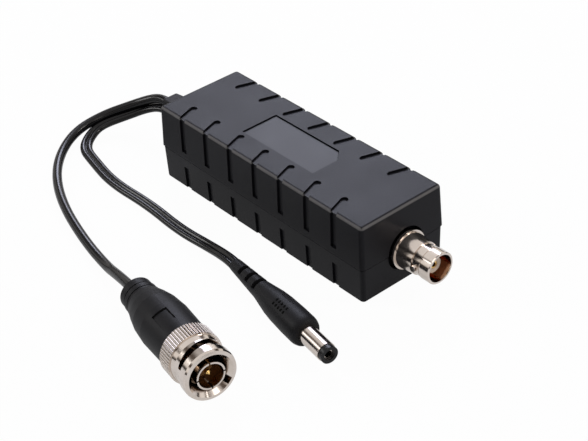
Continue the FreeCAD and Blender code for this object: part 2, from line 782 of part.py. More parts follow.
FLANGE_FRONT = "(jack_reach - flange_stand)"
NECK_FRONT = "(jack_reach - flange_stand + flange_thickness)"
TAIL_FRONT = "(jack_reach - flange_stand + flange_thickness + jack_neck_length)"
TAIL_BACK = "(jack_reach - flange_stand + flange_thickness + jack_neck_length + jack_tail_length)"


def behind(length):
    """A place behind the front of a piece that is drawn back from there."""
    return f"0 - ({length})"


def lay_jack(item):
    """Put a piece of the jack on the jack's axis."""
    lay(item, f"{BOX_FRONT} + jack_reach", "jack_side", "jack_height")


def build_jack():
    """Metal body with flange and lugs, dielectric and centre contact."""
    shell = new_body("jack_shell")
    ring = "jack_radius - jack_ring_depth"
    corners = [("0", "0"), ("0", "jack_radius - jack_rim_chamfer")]
    corners += [(behind("jack_rim_chamfer"), "jack_radius"), (behind("jack_ring_setback"), "jack_radius")]
    corners += [(behind("jack_ring_setback"), ring)]
    ring_back = "jack_ring_setback + jack_ring_width"
    corners += [(behind(ring_back), ring), (behind(ring_back), "jack_rear_radius")]
    corners += [(behind("jack_barrel_length"), "jack_rear_radius")]
    corners += [(behind("jack_barrel_length"), "jack_cone_front_radius")]
    corners += [(behind(FLANGE_FRONT), "jack_cone_root_radius"), (behind(FLANGE_FRONT), "flange_radius")]
    corners += [(behind(NECK_FRONT), "flange_radius"), (behind(NECK_FRONT), "jack_neck_radius")]
    corners += [(behind(TAIL_FRONT), "jack_neck_radius"), (behind(TAIL_FRONT), "jack_tail_radius")]
    corners += [(behind(TAIL_BACK), "jack_tail_radius"), (behind(TAIL_BACK), "0")]
    turn_profile(shell, "Turned", corners)
    lugs = new_sketch(shell, "XZ_Plane", "LugSketch")
    draw_circle(lugs, (behind("lug_setback"), "0"), "lug_radius")
    pad(shell, "Lugs", lugs, "lug_reach * 2", both=True)
    legs = new_sketch(shell, "XY_Plane", "LegSketch", "0 - solder_leg_root")
    for way in (-1, 1):
        spot = (behind(f"{TAIL_BACK} - solder_leg_setback"), f"{way} * solder_leg_spacing / 2")
        draw_circle(legs, spot, "solder_leg_radius")
    pad(shell, "Legs", legs, "jack_height - solder_leg_root - board_height + solder_leg_stand", reverse=True)
    seat = "insulator_radius + insert_gap"
    end = behind(f"{TAIL_BACK} + 1")
    corners = [("1", "0"), ("1", "jack_bore_radius"), (behind("jack_bore_depth"), "jack_bore_radius")]
    corners += [(behind("jack_bore_depth"), seat), (end, seat), (end, "0")]
    turn_profile(shell, "Bore", corners, cut=True)
    lay_jack(shell)

    insulator = new_body("jack_insulator")
    hole = "contact_radius + insert_gap"
    front = behind("insulator_recess")
    back = behind(TAIL_BACK)
    corners = [(front, hole), (front, "insulator_radius"), (back, "insulator_radius"), (back, hole)]
    turn_profile(insulator, "Sleeve", corners)
    lay_jack(insulator)

    contact = new_body("jack_contact")
    front = behind("insulator_recess + contact_recess")
    floor = behind("insulator_recess + contact_recess + contact_bore_depth")
    back = behind(f"{TAIL_BACK} + contact_tail")
    corners = [(front, "contact_bore_radius"), (front, "contact_radius"), (back, "contact_radius")]
    corners += [(back, "0"), (floor, "0"), (floor, "contact_bore_radius")]
    turn_profile(contact, "Socket", corners)
    lay_jack(contact)


# Strain relief and cords

def is_behind_box(edge):
    """Edges that run along the strain relief or round its free end."""
    box_back = middle_x - number("housing_length") / 2
    return edge.BoundBox.XLength > 1 or edge.BoundBox.XMax < box_back - 1


def build_grommet():
    """Tapered block behind the box, with a neck in the wall and a flange inside it."""
    body = new_body("cord_grommet")
    root = new_sketch(body, "YZ_Plane", "RootSketch", BOX_BACK)
    draw_rectangle(root, ("0", "grommet_height_centre"), "grommet_root_width", "grommet_root_height")
    end = new_sketch(body, "YZ_Plane", "EndSketch", f"{BOX_BACK} - grommet_reach")
    draw_rectangle(end, ("0", "grommet_height_centre"), "grommet_end_width", "grommet_end_height")
    block = body.newObject("PartDesign::AdditiveLoft", "Block")
    block.Profile = root
    block.Sections = [end]
    round_edges(body, "BlockEdges", block, "grommet_edge_round", is_behind_box)
    neck = new_sketch(body, "YZ_Plane", "NeckSketch", BOX_BACK)
    size = ("grommet_root_width - 2 * grommet_neck_inset", "grommet_root_height - 2 * grommet_neck_inset")
    draw_rectangle(neck, ("0", "grommet_height_centre"), *size)
    pad(body, "Neck", neck, "wall + grommet_gap")
    flange = new_sketch(body, "YZ_Plane", "FlangeSketch", f"{BOX_BACK} + wall + grommet_gap")
    draw_rectangle(flange, ("0", "grommet_height_centre"), "grommet_root_width", "grommet_root_height")
    pad(body, "Flange", flange, "grommet_flange_thickness")


# Share of the shorter run on each side of a corner that the arc takes
ARC_SHARE = 0.45


def round_route(points):
    """Straight runs joined by tangent arcs: the wire and the radius of each arc."""
    edges = []
    radii = []
    start = points[0]
    for before, corner, after in zip(points, points[1:], points[2:]):
        back = before - corner
        ahead = after - corner
        reach = ARC_SHARE * min(back.Length, ahead.Length)
        half_turn = (math.pi - back.getAngle(ahead)) / 2
        radius = reach / math.tan(half_turn)
        back.normalize()
        ahead.normalize()
        inward = (back + ahead).normalize()
        middle = corner + inward * (radius / math.cos(half_turn) - radius)
        edges.append(Part.LineSegment(start, corner + back * reach).toShape())
        edges.append(Part.Arc(corner + back * reach, middle, corner + ahead * reach).toShape())
        start = corner + ahead * reach
        radii.append(round(radius, 1))
    edges.append(Part.LineSegment(start, points[-1]).toShape())
    return Part.Wire(edges), radii


def add_cord(label, points, section, area):
    """A cord along a rounded route, checked against its section and length."""
    wire, radii = round_route(points)
    sweep = Part.BRepOffsetAPI.MakePipeShell(wire)
    sweep.setBiNormalMode(Vector(0, 0, 1))
    sweep.add(section)
    sweep.build()
    sweep.makeSolid()
    cord = doc.addObject("Part::Feature", label)
    cord.Shape = sweep.shape()
    cord.Label = label
    pieces.append(cord)
    share = cord.Shape.Volume / (area * wire.Length)
    print(label, "length", round(wire.Length, 1), "radii", radii, "volume share", round(share, 3))


def plug_tail(plug, front, length, beyond):
    """A point on a plug's axis, a length behind its front and some way beyond that."""
    turn = math.radians(number(f"{plug}_turn"))
    rise = math.radians(number(f"{plug}_rise"))
    forward = Vector(math.cos(rise) * math.cos(turn), -math.cos(rise) * math.sin(turn), math.sin(rise))
    place = Vector(*[number(f"{plug}_{front}_{way}") for way in ("along", "side", "height")])
    return place - forward * (length + beyond)


# Corners of each cord's route between the strain relief and the plug, as distances from the middle of the box
COAX_CORNERS = [
    (-70.2, -1.2, 10.6),
    (-76.2, -5.4, 7.4),
    (-81.6, -13.2, 4.7),
    (-82.0, -23.8, 3.2),
    (-76.0, -34.0, 1.9),
    (-65.5, -42.5, 1.5),
    (-50.3, -49.4, 1.5),
    (-31.5, -54.5, 1.5),
    (-17.0, -57.0, 1.7),
    (-8.6, -58.9, 4.5),
]
LEAD_CORNERS = [
    (-71.0, -2.4, 7.2),
    (-75.2, -8.2, 4.8),
    (-78.4, -15.4, 3.1),
    (-78.2, -21.8, 1.9),
    (-74.3, -27.0, 1.1),
    (-66.2, -27.8, 1.0),
    (-52.0, -30.6, 1.0),
    (-34.0, -29.6, 1.0),
    (-17.5, -30.8, 1.0),
    (-4.0, -29.9, 1.4),
]


def build_cords():
    """Round coax and flat twin lead, from the strain relief to the plugs."""
    exit_x = middle_x - number("housing_length") / 2 - number("grommet_reach")
    run = number("cord_end_run")

    height = number("coax_exit_height")
    reach = number("ring_length") + number("boot_gap") + number("boot_length")
    points = [Vector(exit_x, 0, height), Vector(exit_x - run, 0, height)]
    points += [Vector(middle_x + x, y, z) for x, y, z in COAX_CORNERS]
    points += [plug_tail("plug", "front", reach, beyond) for beyond in (run, 0)]
    radius = number("coax_radius")
    circle = Part.Wire(Part.Circle(points[0], Vector(1, 0, 0), radius).toShape())
    add_cord("coax_cord", points, circle, math.pi * radius ** 2)

    height = number("lead_exit_height")
    points = [Vector(exit_x, 0, height), Vector(exit_x - run, 0, height)]
    points += [Vector(middle_x + x, y, z) for x, y, z in LEAD_CORNERS]
    points += [plug_tail("power", "tip", number("power_length"), beyond) for beyond in (run, 0)]
    edge = number("lead_thickness") / 2
    side = number("lead_width") / 2 - edge
    low = points[0] - Vector(0, 0, edge)
    high = points[0] + Vector(0, 0, edge)
    across = Vector(0, side, 0)
    outline = [Part.LineSegment(low - across, low + across), Part.LineSegment(high + across, high - across)]
    outline.insert(1, Part.Arc(low + across, points[0] + Vector(0, side + edge, 0), high + across))
    outline.append(Part.Arc(high - across, points[0] - Vector(0, side + edge, 0), low - across))
    section = Part.Wire([curve.toShape() for curve in outline])
    add_cord("power_lead", points, section, Part.Face(section).Area)


# Coax plug, drawn back from the front of its ring

def lay_plug(item):
    """Put a piece of the coax plug on the plug's axis."""
    lay(item, "plug_front_along", "plug_front_side", "plug_front_height", "plug_turn", "plug_rise")


def build_coupling_ring():
    """Turning ring with its knurled back band, two slanted slots and two entries for the lugs."""
    body = new_body("coupling_ring")
    band = "(ring_length - ring_knurl_length)"
    back = behind("ring_length")
    chamber = behind("ring_bore_length")
    flange = behind("ring_bore_length + ring_chamber_length")
    inner = "neck_radius + ring_neck_gap"
    lip = "ring_front_radius"
    waist = "ring_waist_radius"
    roomy = "ring_chamber_radius"
    corners = [(behind("ring_mouth_depth"), "ring_bore_radius")]
    corners += [(behind("ring_lip_round / 2"), "ring_mouth_radius")]
    corners += [("0", "ring_mouth_radius + ring_lip_round / 2"), ("0", f"{lip} - ring_lip_round")]
    corners += [(behind("ring_lip_round / 4"), f"{lip} - ring_lip_round / 4")]
    corners += [(behind("ring_lip_round"), lip), (behind("ring_front_length"), lip)]
    corners += [(behind("ring_front_length + ring_step"), waist)]
    corners += [(behind(f"{band} - ring_shoulder_length"), waist), (behind(band), "ring_shoulder_radius")]
    corners += [(behind(band), "ring_radius"), (back, "ring_radius"), (back, inner), (flange, inner)]
    corners += [(flange, roomy), (chamber, roomy), (chamber, "ring_bore_radius")]
    turn_profile(body, "Turned", corners)

    entry = new_sketch(body, "YZ_Plane", "EntrySketch", "1")
    reach = number("ring_bore_radius") + number("entry_depth")
    half = number("slot_width") / 2
    facing = math.radians(number("entry_place"))
    outward = Vector(math.cos(facing), math.sin(facing), 0)
    across = Vector(-outward.y, outward.x, 0) * half
    draw_closed(entry, [-across, outward * reach - across, outward * reach + across, across])
    cut = pocket(body, "Entry", entry, "slot_setback + slot_width + 1")
    repeat_round(body, "Entries", cut, 2)

    slot = new_sketch(body, "XZ_Plane", "SlotSketch")
    middle = number("slot_setback") + half
    upright = FreeCAD.Rotation(Vector(1, 0, 0), number("slot_place") - 90)
    tilted = FreeCAD.Rotation(Vector(0, 1, 0), number("slot_tilt"))
    slot.AttachmentOffset = FreeCAD.Placement(Vector(-middle, 0, 0), upright.multiply(tilted))
    inside = number("ring_bore_radius") - 1
    outside = number("ring_radius") + 2
    corners = [(-half, inside), (half, inside), (half, outside), (-half, outside)]
    draw_closed(slot, [Vector(place, radius, 0) for place, radius in corners])
    cut = body.newObject("PartDesign::Groove", "Slot")
    cut.Profile = slot
    cut.ReferenceAxis = (slot, ["H_Axis"])
    cut.setExpression("Angle", bound("slot_sweep"))
    cut.Midplane = True
    repeat_round(body, "Slots", cut, 2)
    lay_plug(body)


def build_plug_inner():
    """Slotted body, dielectric, pin, sealing ring and spring washer of the coax plug."""
    body = new_body("plug_body")
    front = behind("sleeve_setback")
    collar = behind("collar_setback")
    collar_back = behind("collar_setback + collar_length")
    cavity = behind("cavity_depth")
    back = behind("ring_length + boot_gap + neck_in_boot")
    inner = "sleeve_radius - sleeve_wall"
    stem = "plug_stem_radius + insert_gap"
    corners = [(front, inner), (front, "sleeve_radius"), (collar, "sleeve_radius"), (collar, "collar_radius")]
    corners += [(collar_back, "collar_radius"), (collar_back, "neck_radius")]
    corners += [(back, "neck_radius"), (back, stem), (cavity, stem), (cavity, inner)]
    turn_profile(body, "Turned", corners)
    slit = new_sketch(body, "YZ_Plane", "SlitSketch", "0 - sleeve_setback")
    draw_rectangle(slit, ("0", "sleeve_radius"), "sleeve_slit", "sleeve_radius")
    cut = pocket(body, "Slit", slit, "sleeve_slit_length")
    repeat_round(body, "Slits", cut, 4)
    lay_plug(body)

    insulator = new_body("plug_insulator")
    hole = "pin_radius + insert_gap"
    face = behind("cavity_depth - plug_insulator_length")
    disc = "sleeve_radius - sleeve_wall - insert_gap"
    corners = [(face, hole), (face, disc), (cavity, disc), (cavity, "plug_stem_radius")]
    corners += [(back, "plug_stem_radius"), (back, hole)]
    turn_profile(insulator, "Turned", corners)
    lay_plug(insulator)

    pin = new_body("plug_pin")
    tip = behind("pin_setback")
    shoulder = behind("pin_setback + pin_point")
    end = behind("cavity_depth + pin_tail")
    corners = [(tip, "0"), (tip, "pin_radius - pin_point"), (shoulder, "pin_radius")]
    corners += [(end, "pin_radius"), (end, "0")]
    turn_profile(pin, "Turned", corners)
    lay_plug(pin)

    gasket = new_body("plug_gasket")
    lip = behind("collar_setback - gasket_thickness")
    seat = "sleeve_radius + insert_gap"
    corners = [(lip, seat), (lip, "gasket_radius"), (collar, "gasket_radius"), (collar, seat)]
    turn_profile(gasket, "Turned", corners)
    lay_plug(gasket)

    washer = new_body("spring_washer")
    rest = "ring_bore_length + ring_chamber_length - washer_gap"
    hole = "neck_radius + ring_neck_gap"
    inner = f"{rest} - washer_rise"
    corners = [(behind(rest), "washer_radius"), (behind(f"{rest} - washer_thickness"), "washer_radius")]
    corners += [(behind(inner), hole), (behind(f"{inner} + washer_thickness"), hole)]
    turn_profile(washer, "Turned", corners)
    lay_plug(washer)


def build_plug_boot():
    """Moulded boot with two rings at its tail and a shallow thumb recess that deepens towards the back."""
    body = new_body("plug_boot")
    start = "ring_length + boot_gap"
    tail = f"{start} + boot_length"
    neck = "neck_radius + insert_gap"
    seat = behind(f"{start} + neck_in_boot")
    second = f"{tail} - boot_tail_ring - boot_ring_groove"
    waist = "boot_waist_radius"
    low = "boot_tail_radius - boot_groove_depth"
    corners = [(behind(start), neck), (behind(start), "boot_front_radius")]
    corners += [(behind(f"{start} + boot_front_land"), "boot_front_radius")]
    corners += [(behind(f"{start} + boot_shoulder_setback"), "boot_shoulder_radius")]
    corners += [(behind(f"{start} + boot_slope_setback"), "boot_slope_radius")]
    corners += [(behind(f"{start} + boot_hip_setback"), "boot_hip_radius")]
    corners += [(behind(f"{start} + boot_waist_setback"), waist)]
    rings = [(f"{second} - boot_second_ring", waist, "boot_second_radius")]
    rings += [(f"{second} + boot_ring_groove", "boot_second_radius", "boot_tail_radius")]
    for ring_front, before, outer in rings:
        groove = behind(f"{ring_front} - boot_ring_groove")
        corners += [(groove, before), (groove, low), (behind(ring_front), low), (behind(ring_front), outer)]
    corners += [(behind(tail), "boot_tail_radius")]
    corners += [(behind(tail), "0"), (seat, "0"), (seat, neck)]
    turn_profile(body, "Moulded", corners)

    front = behind(f"{start} + recess_front")
    back = behind(f"{start} + recess_back")
    outside = "boot_shoulder_radius + 1"
    corners = [(front, outside), (front, "recess_front_radius"), (back, "recess_floor_radius")]
    corners += [(back, outside)]
    recess = turn_profile(body, "ThumbRecess", corners, cut=True)
    recess.setExpression("Angle", bound("recess_sweep"))
    recess.Midplane = True
    leaned = FreeCAD.Rotation(Vector(1, 0, 0), number("recess_place"))
    recess.Profile[0].AttachmentOffset = FreeCAD.Placement(Vector(0, 0, 0), leaned)
    lay_plug(body)


# Power plug, drawn back from its tip

def lay_power(item):
    """Put a piece of the power plug on the plug's axis."""
    lay(item, "power_tip_along", "power_tip_side", "power_tip_height", "power_turn", "power_rise")


def build_power_plug():
    """Boot, barrel, tip and inner contact of the power plug."""
    boot = new_body("power_boot")
    front = "(tip_length + barrel_length)"
    body_end = f"{front} + power_boot_body"
    seat = behind(f"{front} + barrel_in_boot")
    hole = "barrel_root_radius + insert_gap"
    corners = [(behind(front), hole), (behind(front), "power_boot_front_radius")]
    corners += [(behind(f"{front} + power_boot_front_slope"), "power_boot_radius")]
    corners += [(behind(body_end), "power_boot_waist_radius"), (behind("power_length"), "power_tail_radius")]
    corners += [(behind("power_length"), "0"), (seat, "0"), (seat, hole)]
    turn_profile(boot, "Moulded", corners)
    rib = f"({body_end} + power_rib_start + (power_rib_count - 1) * power_rib_pitch)"
    floor = "power_tail_radius - power_rib_depth"
    outer = "power_boot_radius + 1"
    corners = [(behind(rib), floor), (behind(rib), outer), (behind(f"{rib} + power_rib_gap"), outer)]
    corners += [(behind(f"{rib} + power_rib_gap"), floor)]
    cut = turn_profile(boot, "RibGap", corners, cut=True)
    repeat_along(boot, "RibGaps", cut, "(power_rib_count - 1) * power_rib_pitch", "power_rib_count")
    lay_power(boot)

    sleeve = new_body("power_sleeve")
    start = behind("tip_length")
    end = behind(f"{front} + barrel_in_boot")
    inner = "barrel_radius - barrel_wall"
    corners = [(start, inner), (start, "barrel_radius"), (behind(front), "barrel_radius")]
    corners += [(behind(front), "barrel_root_radius"), (end, "barrel_root_radius"), (end, inner)]
    turn_profile(sleeve, "Tube", corners)
    lay_power(sleeve)

    tip = new_body("power_tip")
    bore = "inner_contact_radius + insert_gap"
    step = behind("tip_length")
    deep = behind(f"{front} + barrel_in_boot - tip_seat")
    core = "barrel_radius - barrel_wall - insert_gap"
    corners = [("0", bore), ("0", "tip_radius"), (step, "tip_radius"), (step, core)]
    corners += [(deep, core), (deep, bore)]
    turn_profile(tip, "Turned", corners)
    lay_power(tip)

    contact = new_body("power_inner_contact")
    face = behind("inner_contact_setback")
    end = behind(f"{front} + barrel_in_boot - tip_seat")
    bottom = behind(f"{front} + tip_seat")
    radius = "inner_contact_radius"
    corners = [(face, "inner_contact_bore"), (face, radius), (end, radius), (end, "0"), (bottom, "0")]
    corners += [(bottom, "inner_contact_bore")]
    turn_profile(contact, "Tube", corners)
    lay_power(contact)


build_upper_shell()
build_lower_shell()
build_label_plate()
build_screws()
build_circuit_board()
build_board_parts()
build_jack()
build_grommet()
build_coupling_ring()
build_plug_inner()
build_plug_boot()
build_power_plug()
doc.recompute()
build_cords()
doc.recompute()

# Every piece is looked at before any is written

faults = [item.Name for item in doc.Objects if "Invalid" in item.State or "Error" in item.State]
faults += [item.Label for item in pieces if item.Shape.isNull() or not item.Shape.isValid()]
if faults:
    raise RuntimeError(f"not built: {faults}")

os.makedirs("parts", exist_ok=True)
for item in pieces:
    item.Shape.exportStep(f"parts/{item.Label}.step")
    box = item.Shape.BoundBox
    sides = [(box.XMin, box.XMax), (box.YMin, box.YMax), (box.ZMin, box.ZMax)]
    spans = [f"{low:.2f}..{high:.2f}" for low, high in sides]
    print(item.Label, len(item.Shape.Solids), "solids", *spans, "volume", round(item.Shape.Volume, 1))
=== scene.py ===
import logging
import math
from dataclasses import dataclass, field
from enum import Enum
from typing import Sequence

import bmesh
import bpy
from mathutils import Matrix, Vector


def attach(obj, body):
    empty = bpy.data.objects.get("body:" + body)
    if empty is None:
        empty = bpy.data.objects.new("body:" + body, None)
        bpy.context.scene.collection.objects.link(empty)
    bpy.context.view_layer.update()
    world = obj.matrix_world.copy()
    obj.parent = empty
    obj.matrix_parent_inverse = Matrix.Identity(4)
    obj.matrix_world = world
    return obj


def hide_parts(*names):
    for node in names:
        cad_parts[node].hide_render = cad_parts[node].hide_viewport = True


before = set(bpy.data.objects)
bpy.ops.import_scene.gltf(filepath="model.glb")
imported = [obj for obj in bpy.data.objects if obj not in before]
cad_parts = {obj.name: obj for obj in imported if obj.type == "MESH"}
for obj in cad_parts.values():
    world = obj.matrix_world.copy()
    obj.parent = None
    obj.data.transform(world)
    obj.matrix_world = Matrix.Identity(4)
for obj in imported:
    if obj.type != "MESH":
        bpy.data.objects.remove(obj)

# Power over coax adapter: a ribbed two-shell box with a bayonet jack, a coax cord with a bayonet plug and a
# flat twin lead with a barrel plug. Metres, in the frame of the CAD model.

log = logging.getLogger("adapter")

MM = 0.001
# Where the painted highlight on the rounded edges of the top begins, in millimetres, and over what length
# its mask fades in
EDGE_HIGHLIGHT_LIMITS = {"Soft": 0.35, "Top": 24.1, "Front": 37.35, "Back": 50.35, "Side": 14.25}
# Heights on the sky, as the sine of their elevation, and what shines there in bright metal
ROOM_BANDS = (
    (0.0, (0.03, 0.022, 0.018)),
    (0.10, (0.06, 0.045, 0.035)),
    (0.20, (1.0, 0.95, 0.90)),
    (0.42, (1.0, 0.97, 0.93)),
    (0.50, (0.10, 0.07, 0.05)),
    (0.62, (0.08, 0.055, 0.04)),
    (0.72, (1.0, 0.97, 0.95)),
    (1.0, (0.9, 0.87, 0.85)),
)
# Sides of a dot and of a painted shadow line, steps along a painted shadow line, and the crest of a dot as a
# share of its foot
DOT_SIDES = 10
SHADOW_LINE_STEPS = 14
DOT_CREST = 0.7
# Size of the slow change of tone and of the specks, as repeats in a metre
MOULDED_TONE = 90.0
MOULDED_SPECKS = 900.0
PLATED_TONE = 260.0
PLATED_SPECKS = 2600.0
PLATED_SPECK_SHARE = 0.35
# Specks: size against the cells, size of their patches, and how much of the noise they need
SPECK_REACH = 0.16
SPECK_PATCH_SCALE = 0.13
SPECK_PATCH_LEVEL = 0.6
# Share of the painted edge highlight where the tone is darkest and lightest
EDGE_HIGHLIGHT_SHARES = (0.75, 1.0)
# Angle in degrees from which the boot of the barrel plug has a sharp edge
BOOT_SHARP_ANGLE = 35.0
# Vertices of a mesh that lie closer than this are joined, in metres
SAME_PLACE = 1e-7
FLOOR_LEVEL = -0.00005
LAMP_TARGET = (0.0, -0.02, 0.01)
Point = tuple[float, float, float]
Colour = tuple[float, float, float]
Item = bpy.types.Object
Material = bpy.types.Material
Node = bpy.types.Node
Tree = bpy.types.NodeTree
Socket = bpy.types.NodeSocket
Sockets = bpy.types.bpy_prop_collection


class Body(Enum):
    """Bodies of the CAD model that the new pieces ride on."""

    ADAPTER = "adapter"
    RING = "ring"


class Coat(Enum):
    """Finishes that a piece takes, by the name of each."""

    SHELL = "shell_plastic"
    LABEL = "label_film"
    SCREW = "screw_steel"
    BOARD = "board_laminate"
    CHOKE = "choke_ferrite"
    FILM_CAPACITOR = "film_capacitor_case"
    CAPACITOR = "capacitor_sleeve"
    EPOXY = "component_epoxy"
    NICKEL = "nickel_plate"
    JACK_DIELECTRIC = "jack_dielectric"
    GOLD = "gold_plate"
    BOOT = "moulded_boot"
    JACKET = "cord_jacket"
    PLUG_DIELECTRIC = "plug_dielectric"
    GASKET = "gasket_rubber"
    SPRING = "spring_steel"
    TIP = "tip_plastic"


# Node trees


@dataclass
class Graph:
    """A node tree with short ways to add and join its nodes."""

    tree: Tree

    def add(
        self, kind: str, inputs: dict[str | int, object] | None = None, **values: object
    ) -> Node:
        """Add a node, set its properties and feed its inputs.

        Args:
            kind: Node type.
            inputs: Sockets or plain values for its inputs, by name or place.
            values: Properties of the node by name.

        Returns:
            The new node.
        """
        node = self.tree.nodes.new(kind)
        for name, value in values.items():
            setattr(node, name, value)
        for place, value in (inputs or {}).items():
            if isinstance(value, Socket):
                self.join(value, node.inputs[place])
            else:
                node.inputs[place].default_value = value
        return node

    def join(self, start: Socket, end: Socket) -> None:
        """Link two sockets."""
        self.tree.links.new(start, end)

    def maths(self, operation: str, first: object, second: object = 0.0) -> Socket:
        """Add a Math node.

        Args:
            operation: Name of the operation.
            first: Socket or number for the first value.
            second: Socket or number for the second value.

        Returns:
            The socket of the result.
        """
        return self.add("ShaderNodeMath", {0: first, 1: second}, operation=operation).outputs[0]

    def blend(
        self, share: Socket, low: Colour | Socket, high: Colour
    ) -> Socket:
        """Mix two colours by a share that changes over the surface.

        Args:
            share: Socket of the share of the second colour.
            low: First colour, or the socket of one.
            high: Second colour.

        Returns:
            The socket of the mixed colour.
        """
        start = low if isinstance(low, Socket) else (*low, 1.0)
        mixed = self.add("ShaderNodeMix", {0: share, 6: start, 7: (*high, 1.0)}, data_type="RGBA")
        return mixed.outputs[2]

    def between(self, value: Socket, low: float, high: float) -> Socket:
        """Spread a value from 0 to 1 over another range.

        Args:
            value: Socket of the value.
            low: Result at 0.
            high: Result at 1.

        Returns:
            The socket of the result.
        """
        ends = {"Value": value, "To Min": low, "To Max": high}
        return self.add("ShaderNodeMapRange", ends).outputs["Result"]


def open_group(
    name: str, numbers: Sequence[str], outputs: Sequence[str]
) -> tuple[Graph, Sockets, Sockets]:
    """Start a shader node group with a vector input and number inputs and outputs.

    Args:
        name: Name of the group.
        numbers: Names of its number inputs.
        outputs: Names of its number outputs.

    Returns:
        The graph of the group, the sockets that bring its inputs and those that take its outputs.
    """
    tree = bpy.data.node_groups.new(name, "ShaderNodeTree")
    tree.interface.new_socket("Vector", in_out="INPUT", socket_type="NodeSocketVector")
    for label in numbers:
        tree.interface.new_socket(label, in_out="INPUT", socket_type="NodeSocketFloat")
    for label in outputs:
        tree.interface.new_socket(label, in_out="OUTPUT", socket_type="NodeSocketFloat")
    graph = Graph(tree)
    return graph, graph.add("NodeGroupInput").outputs, graph.add("NodeGroupOutput").inputs


def grain_group() -> Tree:
    """Fine spark-eroded grain of a moulded surface: its height, and a slow change of tone.

    Returns:
        The node group.
    """
    graph, given, wanted = open_group("moulded_grain", ["Scale", "Slow Scale"], ["Height", "Tone"])
    fine = graph.add("ShaderNodeTexNoise", {"Detail": 3.0, "Roughness": 0.6})
    slow = graph.add("ShaderNodeTexNoise", {"Detail": 4.0})
    for texture, scale in ((fine, "Scale"), (slow, "Slow Scale")):
        graph.join(given["Vector"], texture.inputs["Vector"])
        graph.join(given[scale], texture.inputs["Scale"])
    graph.join(fine.outputs["Fac"], wanted["Height"])
    graph.join(slow.outputs["Fac"], wanted["Tone"])
    return graph.tree


def fleck_group() -> Tree:
    """Sparse specks of dust and small rubs, as a mask from 0 to 1.

    Returns:
        The node group.
    """
    graph, given, wanted = open_group("dust_flecks", ["Scale", "Amount"], ["Mask"])
    cells = graph.add("ShaderNodeTexVoronoi")
    noise = graph.add("ShaderNodeTexNoise")
    for texture in (cells, noise):
        graph.join(given["Vector"], texture.inputs["Vector"])
    graph.join(given["Scale"], cells.inputs["Scale"])
    graph.join(graph.maths("MULTIPLY", given["Scale"], SPECK_PATCH_SCALE), noise.inputs["Scale"])
    near = graph.maths("LESS_THAN", cells.outputs["Distance"], SPECK_REACH)
    patch = graph.maths("GREATER_THAN", noise.outputs["Fac"], SPECK_PATCH_LEVEL)
    mask = graph.maths("MULTIPLY", graph.maths("MULTIPLY", near, patch), given["Amount"])
    graph.join(mask, wanted["Mask"])
    return graph.tree


def place_group(graph: Graph, group: Tree, values: dict[str, float]) -> Node:
    """Place a node group in a material on Object coordinates.

    Args:
        graph: Graph of the material.
        group: The node group.
        values: Numbers for its inputs by name.

    Returns:
        The group's node.
    """
    where = graph.add("ShaderNodeTexCoord")
    node = graph.add("ShaderNodeGroup", {"Vector": where.outputs["Object"]}, node_tree=group)
    for name, value in values.items():
        node.inputs[name].default_value = value
    return node


def new_material(name: str) -> tuple[Graph, Node, Material]:
    """A material with its graph and its Principled BSDF.

    Args:
        name: Name of the material.

    Returns:
        The graph, the Principled BSDF and the material.
    """
    material = bpy.data.materials.new(name)
    material.use_nodes = True
    return Graph(material.node_tree), material.node_tree.nodes["Principled BSDF"], material


def add_bump(graph: Graph, shader: Node, height: Socket, depth: float) -> None:
    """Feed a height into the shader's normal through a Bump node.

    Args:
        graph: Graph of the material.
        shader: The Principled BSDF.
        height: Socket of the height.
        depth: Real height of the relief in metres.
    """
    bump = graph.add("ShaderNodeBump", {"Strength": 1.0, "Distance": depth, "Height": height})
    graph.join(bump.outputs["Normal"], shader.inputs["Normal"])


# Places of the turned pieces


@dataclass(frozen=True)
class PlugPlace:
    """Where a plug's front lies, in millimetres, and how its axis turns and rises, in degrees."""

    along: float
    side: float
    height: float
    turn: float
    rise: float

    def matrix(self) -> Matrix:
        """Matrix from the plug's own axes, drawn back along -X from its front, to the frame.

        Returns:
            The matrix, for lengths in metres.
        """
        place = Matrix.Translation(Vector((self.along, self.side, self.height)) * MM)
        turned = Matrix.Rotation(math.radians(-self.turn), 4, "Z")
        raised = Matrix.Rotation(math.radians(-self.rise), 4, "Y")
        return place @ turned @ raised


JACK_PLACE = PlugPlace(51.5, 1.0, 10.8, 0.0, 0.0)
COAX_PLUG_PLACE = PlugPlace(40.1, -68.7, 8.34, 9.7, 1.9)
POWER_PLUG_PLACE = PlugPlace(52.0, -39.7, 5.09, 9.3, 1.7)


@dataclass(frozen=True)
class PaintedBoreShade:
    """Painted shade inside a turned piece, from some way behind its front: a darker colour that stands in
    for the shade in its bore.
    """

    place: PlugPlace
    radius: float
    setback: float
    colour: Colour
    soft: float = 0.3


def bore_shade_group() -> Tree:
    """Mask of the painted bore shade: 1 near the X axis and behind a setback, and 0 elsewhere.

    Returns:
        The node group.
    """
    graph, given, wanted = open_group("painted_bore_shade_mask", ["Radius", "Soft", "Setback"], ["Mask"])
    part = graph.add("ShaderNodeSeparateXYZ", {0: given["Vector"]})
    square = [graph.maths("MULTIPLY", part.outputs[axis], part.outputs[axis]) for axis in ("Y", "Z")]
    distance = graph.maths("SQRT", graph.maths("ADD", *square))
    inward = graph.maths("SUBTRACT", given["Radius"], distance)
    behind = graph.maths("MULTIPLY", part.outputs["X"], -1.0)
    backward = graph.maths("SUBTRACT", behind, given["Setback"])
    shares = []
    for depth in (inward, backward):
        share = graph.add("ShaderNodeMath", {0: depth, 1: given["Soft"]}, operation="DIVIDE", use_clamp=True)
        shares.append(share.outputs[0])
    graph.join(graph.maths("MULTIPLY", *shares), wanted["Mask"])
    return graph.tree


